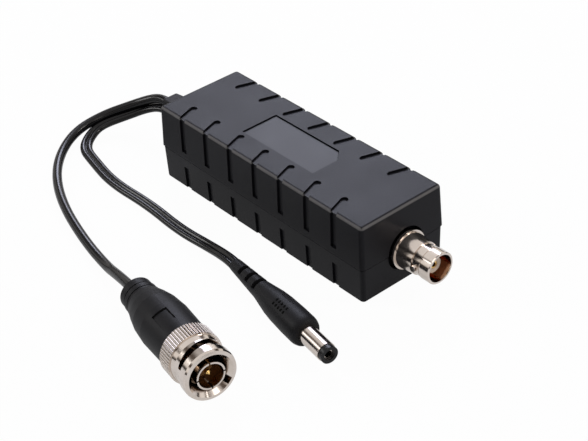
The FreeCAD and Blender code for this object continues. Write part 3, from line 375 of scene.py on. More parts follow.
def edge_highlight_group() -> Tree:
    """Mask of the painted highlight: 1 on the rounded edges round the top of the box, and 0 elsewhere.

    Returns:
        The node group.
    """
    graph, given, wanted = open_group("painted_edge_highlight_mask", ["Soft", "Top", "Front", "Back", "Side"], ["Mask"])
    part = graph.add("ShaderNodeSeparateXYZ", {0: given["Vector"]})
    limits = {
        "Top": part.outputs["Z"],
        "Front": part.outputs["X"],
        "Back": graph.maths("MULTIPLY", part.outputs["X"], -1.0),
        "Side": graph.maths("ABSOLUTE", part.outputs["Y"]),
    }
    shares = {}
    for name, value in limits.items():
        share = graph.add(
            "ShaderNodeMath",
            {
                0: graph.maths("SUBTRACT", value, given[name]),
                1: given["Soft"],
            },
            operation="DIVIDE",
            use_clamp=True,
        )
        shares[name] = share.outputs[0]
    ends = graph.maths("MAXIMUM", shares["Front"], shares["Back"])
    outer = graph.maths("MAXIMUM", ends, shares["Side"])
    graph.join(graph.maths("MULTIPLY", outer, shares["Top"]), wanted["Mask"])
    return graph.tree


@dataclass(frozen=True)
class Effects:
    """Node groups that the finishes share."""

    grain: Tree
    flecks: Tree
    # Mask of the shade painted inside bores
    bore: Tree
    # Mask of the highlight painted on the rounded top edges
    edges: Tree

    @classmethod
    def make(cls) -> "Effects":
        """Build every group once."""
        return cls(grain_group(), fleck_group(), bore_shade_group(), edge_highlight_group())


# Finishes


@dataclass(frozen=True)
class MouldedFinish:
    """Moulded plastic or rubber with grain, a slow change of tone, a few specks and, where given, a
    highlight painted on the rounded top edges.
    """

    name: str
    dark: Colour
    light: Colour
    roughness: tuple[float, float]
    grain: float
    depth: float
    dust: float = 0.0
    specular: float = 0.5
    edge_highlight: Colour | None = None

    def build(self, effects: Effects) -> Material:
        """Build the material from the shared groups.

        Args:
            effects: The shared groups.

        Returns:
            The material.
        """
        graph, shader, material = new_material(self.name)
        grains = {"Scale": 1.0 / self.grain, "Slow Scale": MOULDED_TONE}
        texture = place_group(graph, effects.grain, grains)
        specks = place_group(graph, effects.flecks, {"Scale": MOULDED_SPECKS, "Amount": self.dust})
        tone = graph.maths("MAXIMUM", texture.outputs["Tone"], specks.outputs["Mask"])
        colour = graph.blend(tone, self.dark, self.light)
        # Painted highlight: a pale colour on the rounded top edges in place of the light that they catch
        if self.edge_highlight:
            limits = {name: size * MM for name, size in EDGE_HIGHLIGHT_LIMITS.items()}
            edges = place_group(graph, effects.edges, limits)
            share = graph.between(texture.outputs["Tone"], *EDGE_HIGHLIGHT_SHARES)
            colour = graph.blend(graph.maths("MULTIPLY", edges.outputs["Mask"], share), colour, self.edge_highlight)
        graph.join(colour, shader.inputs["Base Color"])
        graph.join(graph.between(texture.outputs["Tone"], *self.roughness), shader.inputs["Roughness"])
        shader.inputs["Specular IOR Level"].default_value = self.specular
        add_bump(graph, shader, texture.outputs["Height"], self.depth)
        return material


@dataclass(frozen=True)
class PlatedFinish:
    """Plated metal, bright with a slightly duller and warmer tone in slow patches."""

    name: str
    bright: Colour
    dull: Colour
    roughness: tuple[float, float]
    grain: float = 0.00025
    depth: float = 0.0000015

    def build(self, effects: Effects, shade: PaintedBoreShade | None = None) -> Material:
        """Build the material from the shared groups.

        Args:
            effects: The shared groups.
            shade: Painted shade for the inside, for a piece whose bore is painted dark.

        Returns:
            The material.
        """
        graph, shader, material = new_material(self.name)
        texture = place_group(graph, effects.grain, {"Scale": 1.0 / self.grain, "Slow Scale": PLATED_TONE})
        specks = place_group(graph, effects.flecks, {"Scale": PLATED_SPECKS, "Amount": PLATED_SPECK_SHARE})
        tone = graph.maths("MAXIMUM", texture.outputs["Tone"], specks.outputs["Mask"])
        colour = graph.blend(tone, self.bright, self.dull)
        # Painted shade: a darker colour inside the bore in place of the shade there
        if shade:
            colour = self.paint_bore_shade(graph, colour, effects.bore, shade)
        graph.join(colour, shader.inputs["Base Color"])
        graph.join(graph.between(texture.outputs["Tone"], *self.roughness), shader.inputs["Roughness"])
        shader.inputs["Metallic"].default_value = 1.0
        add_bump(graph, shader, texture.outputs["Height"], self.depth)
        return material

    def paint_bore_shade(
        self, graph: Graph, colour: Socket, bore: Tree, shade: PaintedBoreShade
    ) -> Socket:
        """Mix in the painted shade inside a turned piece.

        Args:
            graph: Graph of the material.
            colour: Socket of the outside's colour.
            bore: Group of the mask of the painted bore shade.
            shade: The painted shade of the inside.

        Returns:
            The socket of the mixed colour.
        """
        where = graph.add("ShaderNodeTexCoord")
        own_axes = graph.add(
            "ShaderNodeMapping",
            {
                "Location": shade.place.matrix().translation,
                "Rotation": shade.place.matrix().to_euler("XYZ"),
                "Vector": where.outputs["Object"],
            },
            vector_type="TEXTURE",
        )
        mask = graph.add("ShaderNodeGroup", {"Vector": own_axes.outputs["Vector"]}, node_tree=bore)
        sizes = {"Radius": shade.radius, "Soft": shade.soft, "Setback": shade.setback}
        for name, size in sizes.items():
            mask.inputs[name].default_value = size * MM
        return graph.blend(mask.outputs["Mask"], colour, shade.colour)


FINISHES: dict[Coat, MouldedFinish | PlatedFinish] = {
    Coat.SHELL: MouldedFinish(
        "shell_plastic",
        dark=(0.006, 0.006, 0.008), light=(0.010, 0.010, 0.013),
        roughness=(0.36, 0.46), grain=0.00042, depth=0.00002, dust=0.2, specular=0.10,
        # Pale colour of the highlight painted on the rounded top edges
        edge_highlight=(0.16, 0.155, 0.155),
    ),
    Coat.LABEL: MouldedFinish(
        "label_film",
        dark=(0.008, 0.008, 0.010), light=(0.012, 0.012, 0.014),
        roughness=(0.36, 0.44), grain=0.0002, depth=0.000004, dust=0.2, specular=0.16,
    ),
    Coat.SCREW: PlatedFinish(
        "screw_steel",
        bright=(0.10, 0.10, 0.11), dull=(0.05, 0.05, 0.055),
        roughness=(0.35, 0.5),
    ),
    Coat.BOARD: MouldedFinish(
        "board_laminate",
        dark=(0.006, 0.07, 0.025), light=(0.012, 0.13, 0.045),
        roughness=(0.2, 0.3), grain=0.0009, depth=0.00001,
    ),
    Coat.CHOKE: MouldedFinish(
        "choke_ferrite",
        dark=(0.012, 0.012, 0.012), light=(0.025, 0.024, 0.024),
        roughness=(0.5, 0.6), grain=0.0003, depth=0.00001,
    ),
    Coat.FILM_CAPACITOR: MouldedFinish(
        "film_capacitor_case",
        dark=(0.33, 0.03, 0.02), light=(0.42, 0.05, 0.03),
        roughness=(0.22, 0.3), grain=0.0005, depth=0.000005,
    ),
    Coat.CAPACITOR: MouldedFinish(
        "capacitor_sleeve",
        dark=(0.008, 0.012, 0.05), light=(0.015, 0.02, 0.08),
        roughness=(0.2, 0.3), grain=0.0006, depth=0.000004,
    ),
    Coat.EPOXY: MouldedFinish(
        "component_epoxy",
        dark=(0.012, 0.012, 0.012), light=(0.022, 0.022, 0.022),
        roughness=(0.45, 0.6), grain=0.0002, depth=0.000008,
    ),
    Coat.NICKEL: PlatedFinish(
        "nickel_plate",
        bright=(0.72, 0.66, 0.62), dull=(0.58, 0.51, 0.45),
        roughness=(0.09, 0.18),
    ),
    Coat.JACK_DIELECTRIC: MouldedFinish(
        "jack_dielectric",
        dark=(0.52, 0.44, 0.36), light=(0.64, 0.56, 0.47),
        roughness=(0.3, 0.4), grain=0.0004, depth=0.000004,
    ),
    Coat.GOLD: PlatedFinish(
        "gold_plate",
        bright=(0.90, 0.64, 0.26), dull=(0.78, 0.50, 0.18),
        roughness=(0.14, 0.24),
    ),
    Coat.BOOT: MouldedFinish(
        "moulded_boot",
        dark=(0.008, 0.008, 0.009), light=(0.013, 0.013, 0.015),
        roughness=(0.42, 0.52), grain=0.0005, depth=0.000012, dust=0.2, specular=0.12,
    ),
    Coat.JACKET: MouldedFinish(
        "cord_jacket",
        dark=(0.003, 0.003, 0.004), light=(0.005, 0.005, 0.006),
        roughness=(0.21, 0.27), grain=0.0035, depth=0.000002, dust=0.0, specular=0.28,
    ),
    Coat.PLUG_DIELECTRIC: MouldedFinish(
        "plug_dielectric",
        dark=(0.28, 0.15, 0.055), light=(0.38, 0.21, 0.08),
        roughness=(0.35, 0.45), grain=0.0003, depth=0.000004,
    ),
    Coat.GASKET: MouldedFinish(
        "gasket_rubber",
        dark=(0.003, 0.003, 0.003), light=(0.006, 0.006, 0.006),
        roughness=(0.6, 0.75), grain=0.0002, depth=0.000006, dust=0.0, specular=0.05,
    ),
    Coat.SPRING: PlatedFinish(
        "spring_steel",
        bright=(0.5, 0.5, 0.5), dull=(0.36, 0.36, 0.36),
        roughness=(0.25, 0.35),
    ),
    Coat.TIP: MouldedFinish(
        "tip_plastic",
        dark=(0.006, 0.006, 0.007), light=(0.010, 0.010, 0.011),
        roughness=(0.28, 0.38), grain=0.0004, depth=0.000003, dust=0.0, specular=0.2,
    ),
}


class Palette:
    """All finishes as materials, built once."""

    def __init__(self) -> None:
        """Build the shared groups and every material."""
        self.effects = Effects.make()
        self.materials = {coat: finish.build(self.effects) for coat, finish in FINISHES.items()}

    def dress_node(self, name: str, coat: Coat, shade: PaintedBoreShade | None = None) -> Item:
        """Give a CAD node its material.

        Args:
            name: Name of the node.
            coat: Its finish.
            shade: Painted shade for its inside, for plated metal whose bore is painted dark.

        Returns:
            The node's object.
        """
        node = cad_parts[name]
        material = self.materials[coat]
        # A piece with shade painted in its bore gets a material of its own
        if shade:
            material = FINISHES[coat].build(self.effects, shade)
            material.name = f"{coat.value}_{name}"
        for slot in node.material_slots:
            slot.material = material
        log.info("%s: %s", name, coat.value)
        return node

    def grow_piece(
        self,
        name: str,
        tree: Tree,
        sizes: dict[str, float],
        others: dict[str, object],
        place: Matrix,
        coat: Coat,
        body: Body = Body.ADAPTER,
    ) -> Item:
        """Grow a piece from a geometry tree, with its finish and its body.

        Args:
            name: Name of the piece.
            tree: The geometry tree.
            sizes: Lengths in millimetres for the tree's inputs by name.
            others: Counts, angles and shares for its inputs by name.
            place: Matrix from the piece's own axes to the frame.
            coat: Its finish.
            body: Its body.

        Returns:
            The piece.
        """
        values: dict[str, object] = {label: size * MM for label, size in sizes.items()}
        values.update(others)
        values["Material"] = self.materials[coat]
        return self.dress_piece(grow(name, tree, values, place), coat, body)

    def dress_piece(self, piece: Item, coat: Coat, body: Body) -> Item:
        """Give a new piece its material and the body that it rides on.

        Args:
            piece: The piece.
            coat: Its finish.
            body: Its body.

        Returns:
            The piece.
        """
        piece.data.materials.clear()
        piece.data.materials.append(self.materials[coat])
        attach(piece, body.value)
        log.info("%s: %s on %s", piece.name, coat.value, body.value)
        return piece


# Meshes


def new_object(name: str, data: bpy.types.ID) -> Item:
    """Put data in the scene as an object at the origin.

    Args:
        name: Name of the object.
        data: Its mesh, curve, light or camera.

    Returns:
        The object.
    """
    item = bpy.data.objects.new(name, data)
    bpy.context.scene.collection.objects.link(item)
    return item


def in_metres(points: Sequence[Point]) -> list[Vector]:
    """Points given in millimetres, as vectors in metres."""
    return [Vector(point) * MM for point in points]


def join_rings(mesh: bmesh.types.BMesh, rings: Sequence[Sequence[bmesh.types.BMVert]]) -> None:
    """Join closed rings of vertices with quads, each ring to the next."""
    for first, second in zip(rings, rings[1:]):
        for step, corner in enumerate(first):
            after = (step + 1) % len(first)
            mesh.faces.new((corner, first[after], second[after], second[step]))


# Geometry trees


def open_growth(
    name: str, counts: Sequence[str], numbers: Sequence[str]
) -> tuple[Graph, Sockets, Sockets]:
    """Start a geometry tree with named inputs, one of them its material, and one geometry output.

    Args:
        name: Name of the tree.
        counts: Names of its inputs that are whole numbers.
        numbers: Names of its other number inputs.

    Returns:
        The graph of the tree, the sockets that bring its inputs and those that take its outputs.
    """
    tree = bpy.data.node_groups.new(name, "GeometryNodeTree")
    kinds = {"Geometry": "NodeSocketGeometry", "Material": "NodeSocketMaterial"}
    kinds.update({label: "NodeSocketInt" for label in counts})
    kinds.update({label: "NodeSocketFloat" for label in numbers})
    for label, kind in kinds.items():
        tree.interface.new_socket(label, in_out="INPUT", socket_type=kind)
    tree.interface.new_socket("Geometry", in_out="OUTPUT", socket_type="NodeSocketGeometry")
    graph = Graph(tree)
    return graph, graph.add("NodeGroupInput").outputs, graph.add("NodeGroupOutput").inputs


def grow(name: str, tree: Tree, values: dict[str, object], place: Matrix) -> Item:
    """Run a geometry tree once and keep its result as a plain mesh.

    Args:
        name: Name of the new piece.
        tree: The geometry tree.
        values: Values of the tree's inputs by name.
        place: Matrix from the piece's own axes to the frame.

    Returns:
        The piece, with its place in its mesh.
    """
    host = new_object(name + "_host", bpy.data.meshes.new(name + "_host"))
    modifier = host.modifiers.new("growth", "NODES")
    modifier.node_group = tree
    for socket in tree.interface.items_tree:
        if socket.in_out == "INPUT" and socket.name in values:
            modifier[socket.identifier] = values[socket.name]
    evaluated = host.evaluated_get(bpy.context.evaluated_depsgraph_get())
    mesh = bpy.data.meshes.new_from_object(evaluated)
    bpy.data.objects.remove(host)
    mesh.name = name
    mesh.transform(place)
    return new_object(name, mesh)


def ridge_tree() -> Tree:
    """Straight ridges side by side round the X axis, back along -X from the first end.

    Returns:
        The geometry tree.
    """
    numbers = ("Step", "Radius", "Start", "Length", "Foot Width", "Crest Width", "Height", "Sink", "Turn")
    graph, given, wanted = open_growth("ridges_round_axis", ["Count"], numbers)
    start, end = (
        graph.add("ShaderNodeCombineXYZ", {"X": graph.maths("MULTIPLY", reach, -1.0)}).outputs[0]
        for reach in (given["Start"], graph.maths("ADD", given["Start"], given["Length"]))
    )
    line = graph.add("GeometryNodeCurvePrimitiveLine", {"Start": start, "End": end})
    section = graph.add(
        "GeometryNodeCurvePrimitiveQuadrilateral",
        {
            "Bottom Width": given["Foot Width"],
            "Top Width": given["Crest Width"],
            "Height": graph.maths("ADD", given["Height"], given["Sink"]),
            "Offset": 0.0,
        },
        mode="TRAPEZOID",
    )
    ridge = graph.add(
        "GeometryNodeCurveToMesh",
        {
            "Fill Caps": True,
            "Curve": line.outputs["Curve"],
            "Profile Curve": section.outputs["Curve"],
        },
    )
    rise = graph.maths("SUBTRACT", given["Height"], given["Sink"])
    half_rise = graph.maths("MULTIPLY", rise, 0.5)
    lift = graph.add("ShaderNodeCombineXYZ", {"Z": graph.maths("ADD", given["Radius"], half_rise)})
    lifted = graph.add(
        "GeometryNodeTransform", {"Geometry": ridge.outputs["Mesh"], "Translation": lift.outputs[0]}
    )
    spots = graph.add(
        "GeometryNodeMeshLine", {"Offset": (0.0, 0.0, 0.0), "Count": given["Count"]}, mode="OFFSET"
    )
    index = graph.add("GeometryNodeInputIndex")
    swung = graph.maths("MULTIPLY", index.outputs[0], given["Step"])
    angle = graph.add("ShaderNodeCombineXYZ", {"X": graph.maths("ADD", swung, given["Turn"])})
    copies = graph.add(
        "GeometryNodeInstanceOnPoints",
        {
            "Points": spots.outputs["Mesh"],
            "Instance": lifted.outputs["Geometry"],
            "Rotation": angle.outputs[0],
        },
    )
    close_growth(graph, copies.outputs["Instances"], given["Material"], wanted)
    return graph.tree


def wrapped_grid_tree() -> Tree:
    """A grid of low oval dots wrapped on a cone about the X axis, back along -X from its small end.

    Returns:
        The geometry tree.
    """
    numbers = ("Start", "Row Pitch", "Column Pitch", "Radius", "Taper", "Turn")
    sides = {"Dot Width": "X", "Dot Length": "Y", "Dot Height": "Z"}
    graph, given, wanted = open_growth("dots_on_cone", ["Rows", "Columns"], [*numbers, *sides])
    grid = graph.add("GeometryNodeMeshGrid")
    for count, pitch, size, vertices in (
        ("Rows", "Row Pitch", "Size X", "Vertices X"),
        ("Columns", "Column Pitch", "Size Y", "Vertices Y"),
    ):
        graph.join(given[count], grid.inputs[vertices])
        spans = graph.maths("SUBTRACT", given[count], 1.0)
        graph.join(graph.maths("MULTIPLY", spans, given[pitch]), grid.inputs[size])
    outline = graph.add(
        "GeometryNodeCurvePrimitiveCircle", {"Resolution": DOT_SIDES, "Radius": 0.5}, mode="RADIUS"
    )
    disc = graph.add("GeometryNodeFillCurve", {"Curve": outline.outputs["Curve"]})
    raised = graph.add(
        "GeometryNodeExtrudeMesh", {"Offset Scale": 1.0, "Mesh": disc.outputs["Mesh"]}, mode="FACES"
    )
    crest = graph.add(
        "GeometryNodeScaleElements",
        {
            "Scale": DOT_CREST,
            "Geometry": raised.outputs["Mesh"],
            "Selection": raised.outputs["Top"],
        },
        domain="FACE",
    )
    size = graph.add("ShaderNodeCombineXYZ", {axis: given[label] for label, axis in sides.items()})
    copies = graph.add(
        "GeometryNodeInstanceOnPoints",
        {
            "Points": grid.outputs["Mesh"],
            "Instance": crest.outputs["Geometry"],
            "Scale": size.outputs[0],
        },
    )
    flat = graph.add("GeometryNodeRealizeInstances", {"Geometry": copies.outputs["Instances"]})
    where = graph.add("GeometryNodeInputPosition")
    part = graph.add("ShaderNodeSeparateXYZ", {0: where.outputs[0]})
    back = graph.maths("ADD", graph.maths("MULTIPLY", part.outputs["X"], -1.0), given["Start"])
    growth = graph.maths("MULTIPLY", part.outputs["X"], given["Taper"])
    radius = graph.maths("ADD", given["Radius"], growth)
    angle = graph.maths("ADD", graph.maths("DIVIDE", part.outputs["Y"], radius), given["Turn"])
    reach = graph.maths("ADD", radius, part.outputs["Z"])
    wrapped = graph.add("ShaderNodeCombineXYZ", {"X": graph.maths("MULTIPLY", back, -1.0)})
    for axis, operation in (("Y", "SINE"), ("Z", "COSINE")):
        graph.join(graph.maths("MULTIPLY", reach, graph.maths(operation, angle)), wrapped.inputs[axis])
    moved = graph.add(
        "GeometryNodeSetPosition", {"Geometry": flat.outputs["Geometry"], "Position": wrapped.outputs[0]}
    )
    close_growth(graph, moved.outputs["Geometry"], given["Material"], wanted)
    return graph.tree


def shadow_line_tree() -> Tree:
    """A thin line wrapped on a cone about the X axis, between two places on it, drawn as a line of painted
    shadow.

    Returns:
        The geometry tree.
    """
    places = ("Setback", "Turn", "Radius")
    numbers = [f"{end} {label}" for end in ("First", "Last") for label in places]
    graph, given, wanted = open_growth("shadow_line_on_cone", [], [*numbers, "Width"])
    line = graph.add("GeometryNodeCurvePrimitiveLine", {"End": (1.0, 0.0, 0.0)})
    steps = graph.add("GeometryNodeResampleCurve", {"Count": SHADOW_LINE_STEPS, "Curve": line.outputs["Curve"]})
    share = graph.add("GeometryNodeSplineParameter").outputs["Factor"]
    now = {}
    for label in places:
        first, last = (given[f"{end} {label}"] for end in ("First", "Last"))
        passed = graph.maths("MULTIPLY", graph.maths("SUBTRACT", last, first), share)
        now[label] = graph.maths("ADD", first, passed)
    spot = graph.add("ShaderNodeCombineXYZ", {"X": graph.maths("MULTIPLY", now["Setback"], -1.0)})
    for axis, operation in (("Y", "SINE"), ("Z", "COSINE")):
        sway = graph.maths(operation, now["Turn"])
        graph.join(graph.maths("MULTIPLY", now["Radius"], sway), spot.inputs[axis])
    wrapped = graph.add(
        "GeometryNodeSetPosition", {"Geometry": steps.outputs["Curve"], "Position": spot.outputs[0]}
    )
    section = graph.add(
        "GeometryNodeCurvePrimitiveCircle",
        {
            "Resolution": DOT_SIDES,
            "Radius": graph.maths("MULTIPLY", given["Width"], 0.5),
        },
        mode="RADIUS",
    )
    bead = graph.add(
        "GeometryNodeCurveToMesh",
        {
            "Fill Caps": True,
            "Curve": wrapped.outputs["Geometry"],
            "Profile Curve": section.outputs["Curve"],
        },
    )
    close_growth(graph, bead.outputs["Mesh"], given["Material"], wanted)
    return graph.tree


def close_growth(
    graph: Graph, grown: Socket, material: Socket, wanted: Sockets
) -> None:
    """End a geometry tree: real meshes instead of copies, and their material.

    Args:
        graph: Graph of the tree.
        grown: Socket of the geometry.
        material: Socket of the material.
        wanted: Inputs of the tree's output node.
    """
    real = graph.add("GeometryNodeRealizeInstances")
    coated = graph.add("GeometryNodeSetMaterial")
    graph.join(grown, real.inputs["Geometry"])
    graph.join(real.outputs["Geometry"], coated.inputs["Geometry"])
    graph.join(material, coated.inputs["Material"])
    graph.join(coated.outputs["Geometry"], wanted["Geometry"])


# Cords


def route_curve(name: str, points: Sequence[Vector]) -> Item:
    """A smooth line with a route's points as its control points.

    Args:
        name: Name of the object.
        points: The route, from the strain relief to the plug.

    Returns:
        The curve's object.
    """
    curve = bpy.data.curves.new(name, "CURVE")
    curve.dimensions = "3D"
    curve.resolution_u = 12
    spline = curve.splines.new("NURBS")
    spline.points.add(len(points) - 1)
    for place, point in zip(spline.points, points):
        place.co = (*point, 1.0)
    spline.order_u = 3
    spline.use_endpoint_u = True
    return new_object(name, curve)


def read_line(item: Item) -> list[Vector]:
    """Points along a curve that has no bevel.

    Args:
        item: The curve's object.

    Returns:
        The points from its start to its end.
    """
    evaluated = item.evaluated_get(bpy.context.evaluated_depsgraph_get())
    mesh = bpy.data.meshes.new_from_object(evaluated)
    line = [vertex.co.copy() for vertex in mesh.vertices]
    bpy.data.meshes.remove(mesh)
    return line


@dataclass
class CoaxCord:
    """Round coax from the strain relief to the boot of the coax plug."""

    diameter: float = 3.0
    length: float = 135.6
    route: tuple[Point, ...] = (
        (-67.9, 0.0, 12.2),
        (-72.1, 0.0, 12.2),
        (-76.7, -1.2, 10.6),
        (-82.7, -5.4, 7.4),
        (-88.1, -13.2, 4.7),
        (-88.5, -23.8, 3.2),
        (-82.5, -34.0, 1.9),
        (-72.0, -42.5, 1.5),
        (-56.8, -49.4, 1.5),
        (-38.0, -54.5, 1.5),
        (-23.5, -57.0, 1.7),
        (-15.1, -58.9, 4.5),
        (-6.301, -60.769, 6.778),
        (-2.163, -61.476, 6.918),
    )

    def build(self, palette: Palette) -> Item:
        """Build the cord as a bevelled curve in place of its CAD tube."""
        cord = route_curve("coax_cord_jacket", in_metres(self.route))
        cord.data.bevel_depth = self.diameter / 2 * MM
        cord.data.bevel_resolution = 5
        cord.data.use_fill_caps = True
        palette.dress_piece(cord, Coat.JACKET, Body.ADAPTER)
        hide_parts("coax_cord")
        return cord

    def declare(self, cord: Item, pieces: Sequence[str]) -> None:
        """Takes the cord and the pieces that lie on it, and does nothing with them."""


@dataclass
class TwinLead:
    """Flat lead of two insulated wires side by side, from the strain relief to the power plug."""

    width: float = 3.9
    thickness: float = 1.95
    web: float = 0.7
    length: float = 123.3
    steps: int = 28
    route: tuple[Point, ...] = (
        (-67.9, 0.0, 9.0),
        (-72.1, 0.0, 9.0),
        (-77.5, -2.4, 7.2),
        (-82.0, -7.4, 4.8),
        (-85.6, -14.6, 3.2),
        (-85.5, -19.4, 2.1),
        (-81.0, -25.8, 1.1),
        (-72.7, -27.8, 1.0),
        (-58.5, -30.6, 1.0),
        (-40.5, -29.6, 1.0),
        (-24.0, -30.8, 1.0),
        (-10.5, -29.9, 1.4),
        (-0.478, -31.106, 3.512),
        (3.665, -31.785, 3.636),
    )

    def section(self) -> list[tuple[float, float]]:
        """Outline of two round wires joined by a thinner web.

        Returns:
            Pairs of side and height in metres.
        """
        radius = self.thickness / 2
        centre = self.width / 2 - radius
        reach = math.pi - math.asin(self.web / 2 / radius)
        steps = self.steps // 2
        angles = [reach * (2 * step / (steps - 1) - 1) for step in range(steps)]
        right = [(centre + radius * math.cos(angle), radius * math.sin(angle)) for angle in angles]
        left = [(-across, -height) for across, height in right]
        return [(across * MM, height * MM) for across, height in right + left]

    def build(self, palette: Palette) -> tuple[Item, list[Vector]]:
        """Build the lead as a tube along the smooth line of its route.

        Returns:
            The lead and the line that it follows.
        """
        guide = route_curve("power_lead_line", in_metres(self.route))
        line = read_line(guide)
        bpy.data.objects.remove(guide)
        outline = self.section()
        mesh = bmesh.new()
        rings = []
        for place, point in enumerate(line):
            ahead = line[min(place + 1, len(line) - 1)] - line[max(place - 1, 0)]
            side = ahead.cross(Vector((0.0, 0.0, 1.0))).normalized()
            upward = side.cross(ahead).normalized()
            spots = [point + side * across + upward * height for across, height in outline]
            rings.append([mesh.verts.new(spot) for spot in spots])
        join_rings(mesh, rings)
        mesh.faces.new(rings[0])
        mesh.faces.new(list(reversed(rings[-1])))
        lead = finish_mesh("power_lead_jacket", mesh)
        palette.dress_piece(lead, Coat.JACKET, Body.ADAPTER)
        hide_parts("power_lead")
        return lead, line

    def declare(self, lead: Item, line: Sequence[Vector], pieces: Sequence[str]) -> None:
        """Takes the lead, its line and the pieces that lie on it, and does nothing with them."""


def finish_mesh(name: str, mesh: bmesh.types.BMesh, smooth: bool = True) -> Item:
    """Turn a mesh in the making into an object with its faces outwards.

    Args:
        name: Name of the object.
        mesh: The mesh in the making, which is freed.
        smooth: Whether its faces are shaded smooth.

    Returns:
        The object.
    """
    bmesh.ops.remove_doubles(mesh, verts=mesh.verts, dist=SAME_PLACE)
    bmesh.ops.recalc_face_normals(mesh, faces=mesh.faces)
    for face in mesh.faces:
        face.smooth = smooth
    data = bpy.data.meshes.new(name)
    mesh.to_mesh(data)
    mesh.free()
    return new_object(name, data)


# Studio


@dataclass(frozen=True)
class Softbox:
    """One soft lamp that points at the object."""

    name: str
    place: Point
    size: tuple[float, float]
    power: float
    tint: Colour = (1.0, 1.0, 1.0)

    def build(self) -> None:
        """Add the lamp, turned towards the middle of the object."""
        light = bpy.data.lights.new(self.name, "AREA")
        light.shape = "RECTANGLE"
        light.size, light.size_y = self.size
        light.energy = self.power
        light.color = self.tint
        lamp = new_object(self.name, light)
        lamp.location = self.place
        towards = Vector(LAMP_TARGET) - Vector(self.place)
        lamp.rotation_euler = towards.to_track_quat("-Z", "Y").to_euler()


@dataclass
class Studio:
    """Pale floor, soft light and the camera."""

    lens: float = 91.57
    floor_size: float = 3.0
    floor_dark: Colour = (0.84, 0.84, 0.84)
    floor_light: Colour = (0.87, 0.87, 0.87)
    floor_roughness: float = 0.9
    world_strength: float = 0.22
    floor_white: float = 0.97
    floor_mirrored: float = 0.6
    brightest_sample: float = 1.6
    lamps: tuple[Softbox, ...] = (
        Softbox("back_box", (-0.62, 0.52, 0.62), (0.45, 0.32), 5.6, (0.80, 0.83, 1.0)),
        Softbox("front_box", (0.75, -0.1, 0.55), (0.35, 0.35), 0.9, (1.0, 0.94, 0.88)),
        Softbox("edge_box", (-0.70, -0.64, 0.56), (0.3, 0.3), 2.8),
        Softbox("end_box", (0.60, 0.52, 0.65), (0.2, 0.2), 2.4, (1.0, 0.96, 0.92)),
    )

    def build_floor(self) -> None:
        """Pale floor that shows white to the camera and keeps the object's shadow."""
        half = self.floor_size / 2
        mesh = bmesh.new()
        signs = ((-1, -1), (1, -1), (1, 1), (-1, 1))
        corners = [mesh.verts.new((x * half, y * half, FLOOR_LEVEL)) for x, y in signs]
        mesh.faces.new(corners)
        floor = finish_mesh("floor", mesh)
        graph, shader, material = new_material("studio_floor")
        noise = graph.add("ShaderNodeTexNoise")
        where = graph.add("ShaderNodeTexCoord")
        graph.join(where.outputs["Object"], noise.inputs["Vector"])
        tone = graph.blend(noise.outputs["Fac"], self.floor_dark, self.floor_light)
        graph.join(tone, shader.inputs["Base Color"])
        shader.inputs["Roughness"].default_value = self.floor_roughness
        glow = graph.add("ShaderNodeEmission")
        path = graph.add("ShaderNodeLightPath")
        seen = graph.maths("MULTIPLY", path.outputs["Is Camera Ray"], self.floor_white)
        mirrored = graph.maths("MULTIPLY", path.outputs["Is Glossy Ray"], self.floor_mirrored)
        share = graph.maths("MAXIMUM", seen, mirrored)
        mix = graph.add("ShaderNodeMixShader", {0: share, 1: shader.outputs[0], 2: glow.outputs[0]})
        output = material.node_tree.nodes["Material Output"]
        graph.join(mix.outputs[0], output.inputs["Surface"])
        floor.data.materials.append(material)

    def build_world(self) -> None:
        """Even light from all round, white where the camera sees it."""
        world = bpy.data.worlds.new("studio")
        bpy.context.scene.world = world
        world.use_nodes = True
        graph = Graph(world.node_tree)
        soft = world.node_tree.nodes["Background"]
        soft.inputs["Color"].default_value = (1.0, 1.0, 1.0, 1.0)
        soft.inputs["Strength"].default_value = self.world_strength
        room = graph.add("ShaderNodeBackground")
        where = graph.add("ShaderNodeTexCoord")
        part = graph.add("ShaderNodeSeparateXYZ", {0: where.outputs["Generated"]})
        bands = graph.add("ShaderNodeValToRGB", {"Fac": part.outputs["Z"]})
        ramp = bands.color_ramp
        ramp.elements[0].color = (*ROOM_BANDS[0][1], 1.0)
        ramp.elements[-1].position = ROOM_BANDS[-1][0]
        ramp.elements[-1].color = (*ROOM_BANDS[-1][1], 1.0)
        for height, colour in ROOM_BANDS[1:-1]:
            ramp.elements.new(height).color = (*colour, 1.0)
        graph.join(bands.outputs["Color"], room.inputs["Color"])
        white = graph.add("ShaderNodeBackground")
        path = graph.add("ShaderNodeLightPath")
        last = soft
        for ray, shader in (("Is Glossy Ray", room), ("Is Camera Ray", white)):
            shaders = {0: path.outputs[ray], 1: last.outputs[0], 2: shader.outputs[0]}
            last = graph.add("ShaderNodeMixShader", shaders)
        graph.join(last.outputs[0], world.node_tree.nodes["World Output"].inputs["Surface"])

    def build_camera(self) -> None:
        """Camera at the photograph's place, angle and framing."""
        camera = new_object("camera", bpy.data.cameras.new("camera"))
        camera.data.lens = self.lens
        camera.data.sensor_width = 36.0
        camera.data.clip_start = 0.01
        camera.matrix_world = Matrix(
            (
                (0.65306, -0.41506, 0.63343, 0.274779),
                (0.75555, 0.41401, -0.50768, -0.227159),
                (-0.05153, 0.81014, 0.58397, 0.257735),
                (0.0, 0.0, 0.0, 1.0),
            )
        )
        bpy.context.scene.camera = camera

    def build(self) -> None:
        """Build floor, world, lamps and camera."""
        self.build_floor()
        self.build_world()
        for lamp in self.lamps:
            lamp.build()
        self.build_camera()
        bpy.context.scene.view_settings.view_transform = "Standard"
        bpy.context.scene.cycles.sample_clamp_direct = self.brightest_sample
        log.info("studio built")


# Sub-assemblies


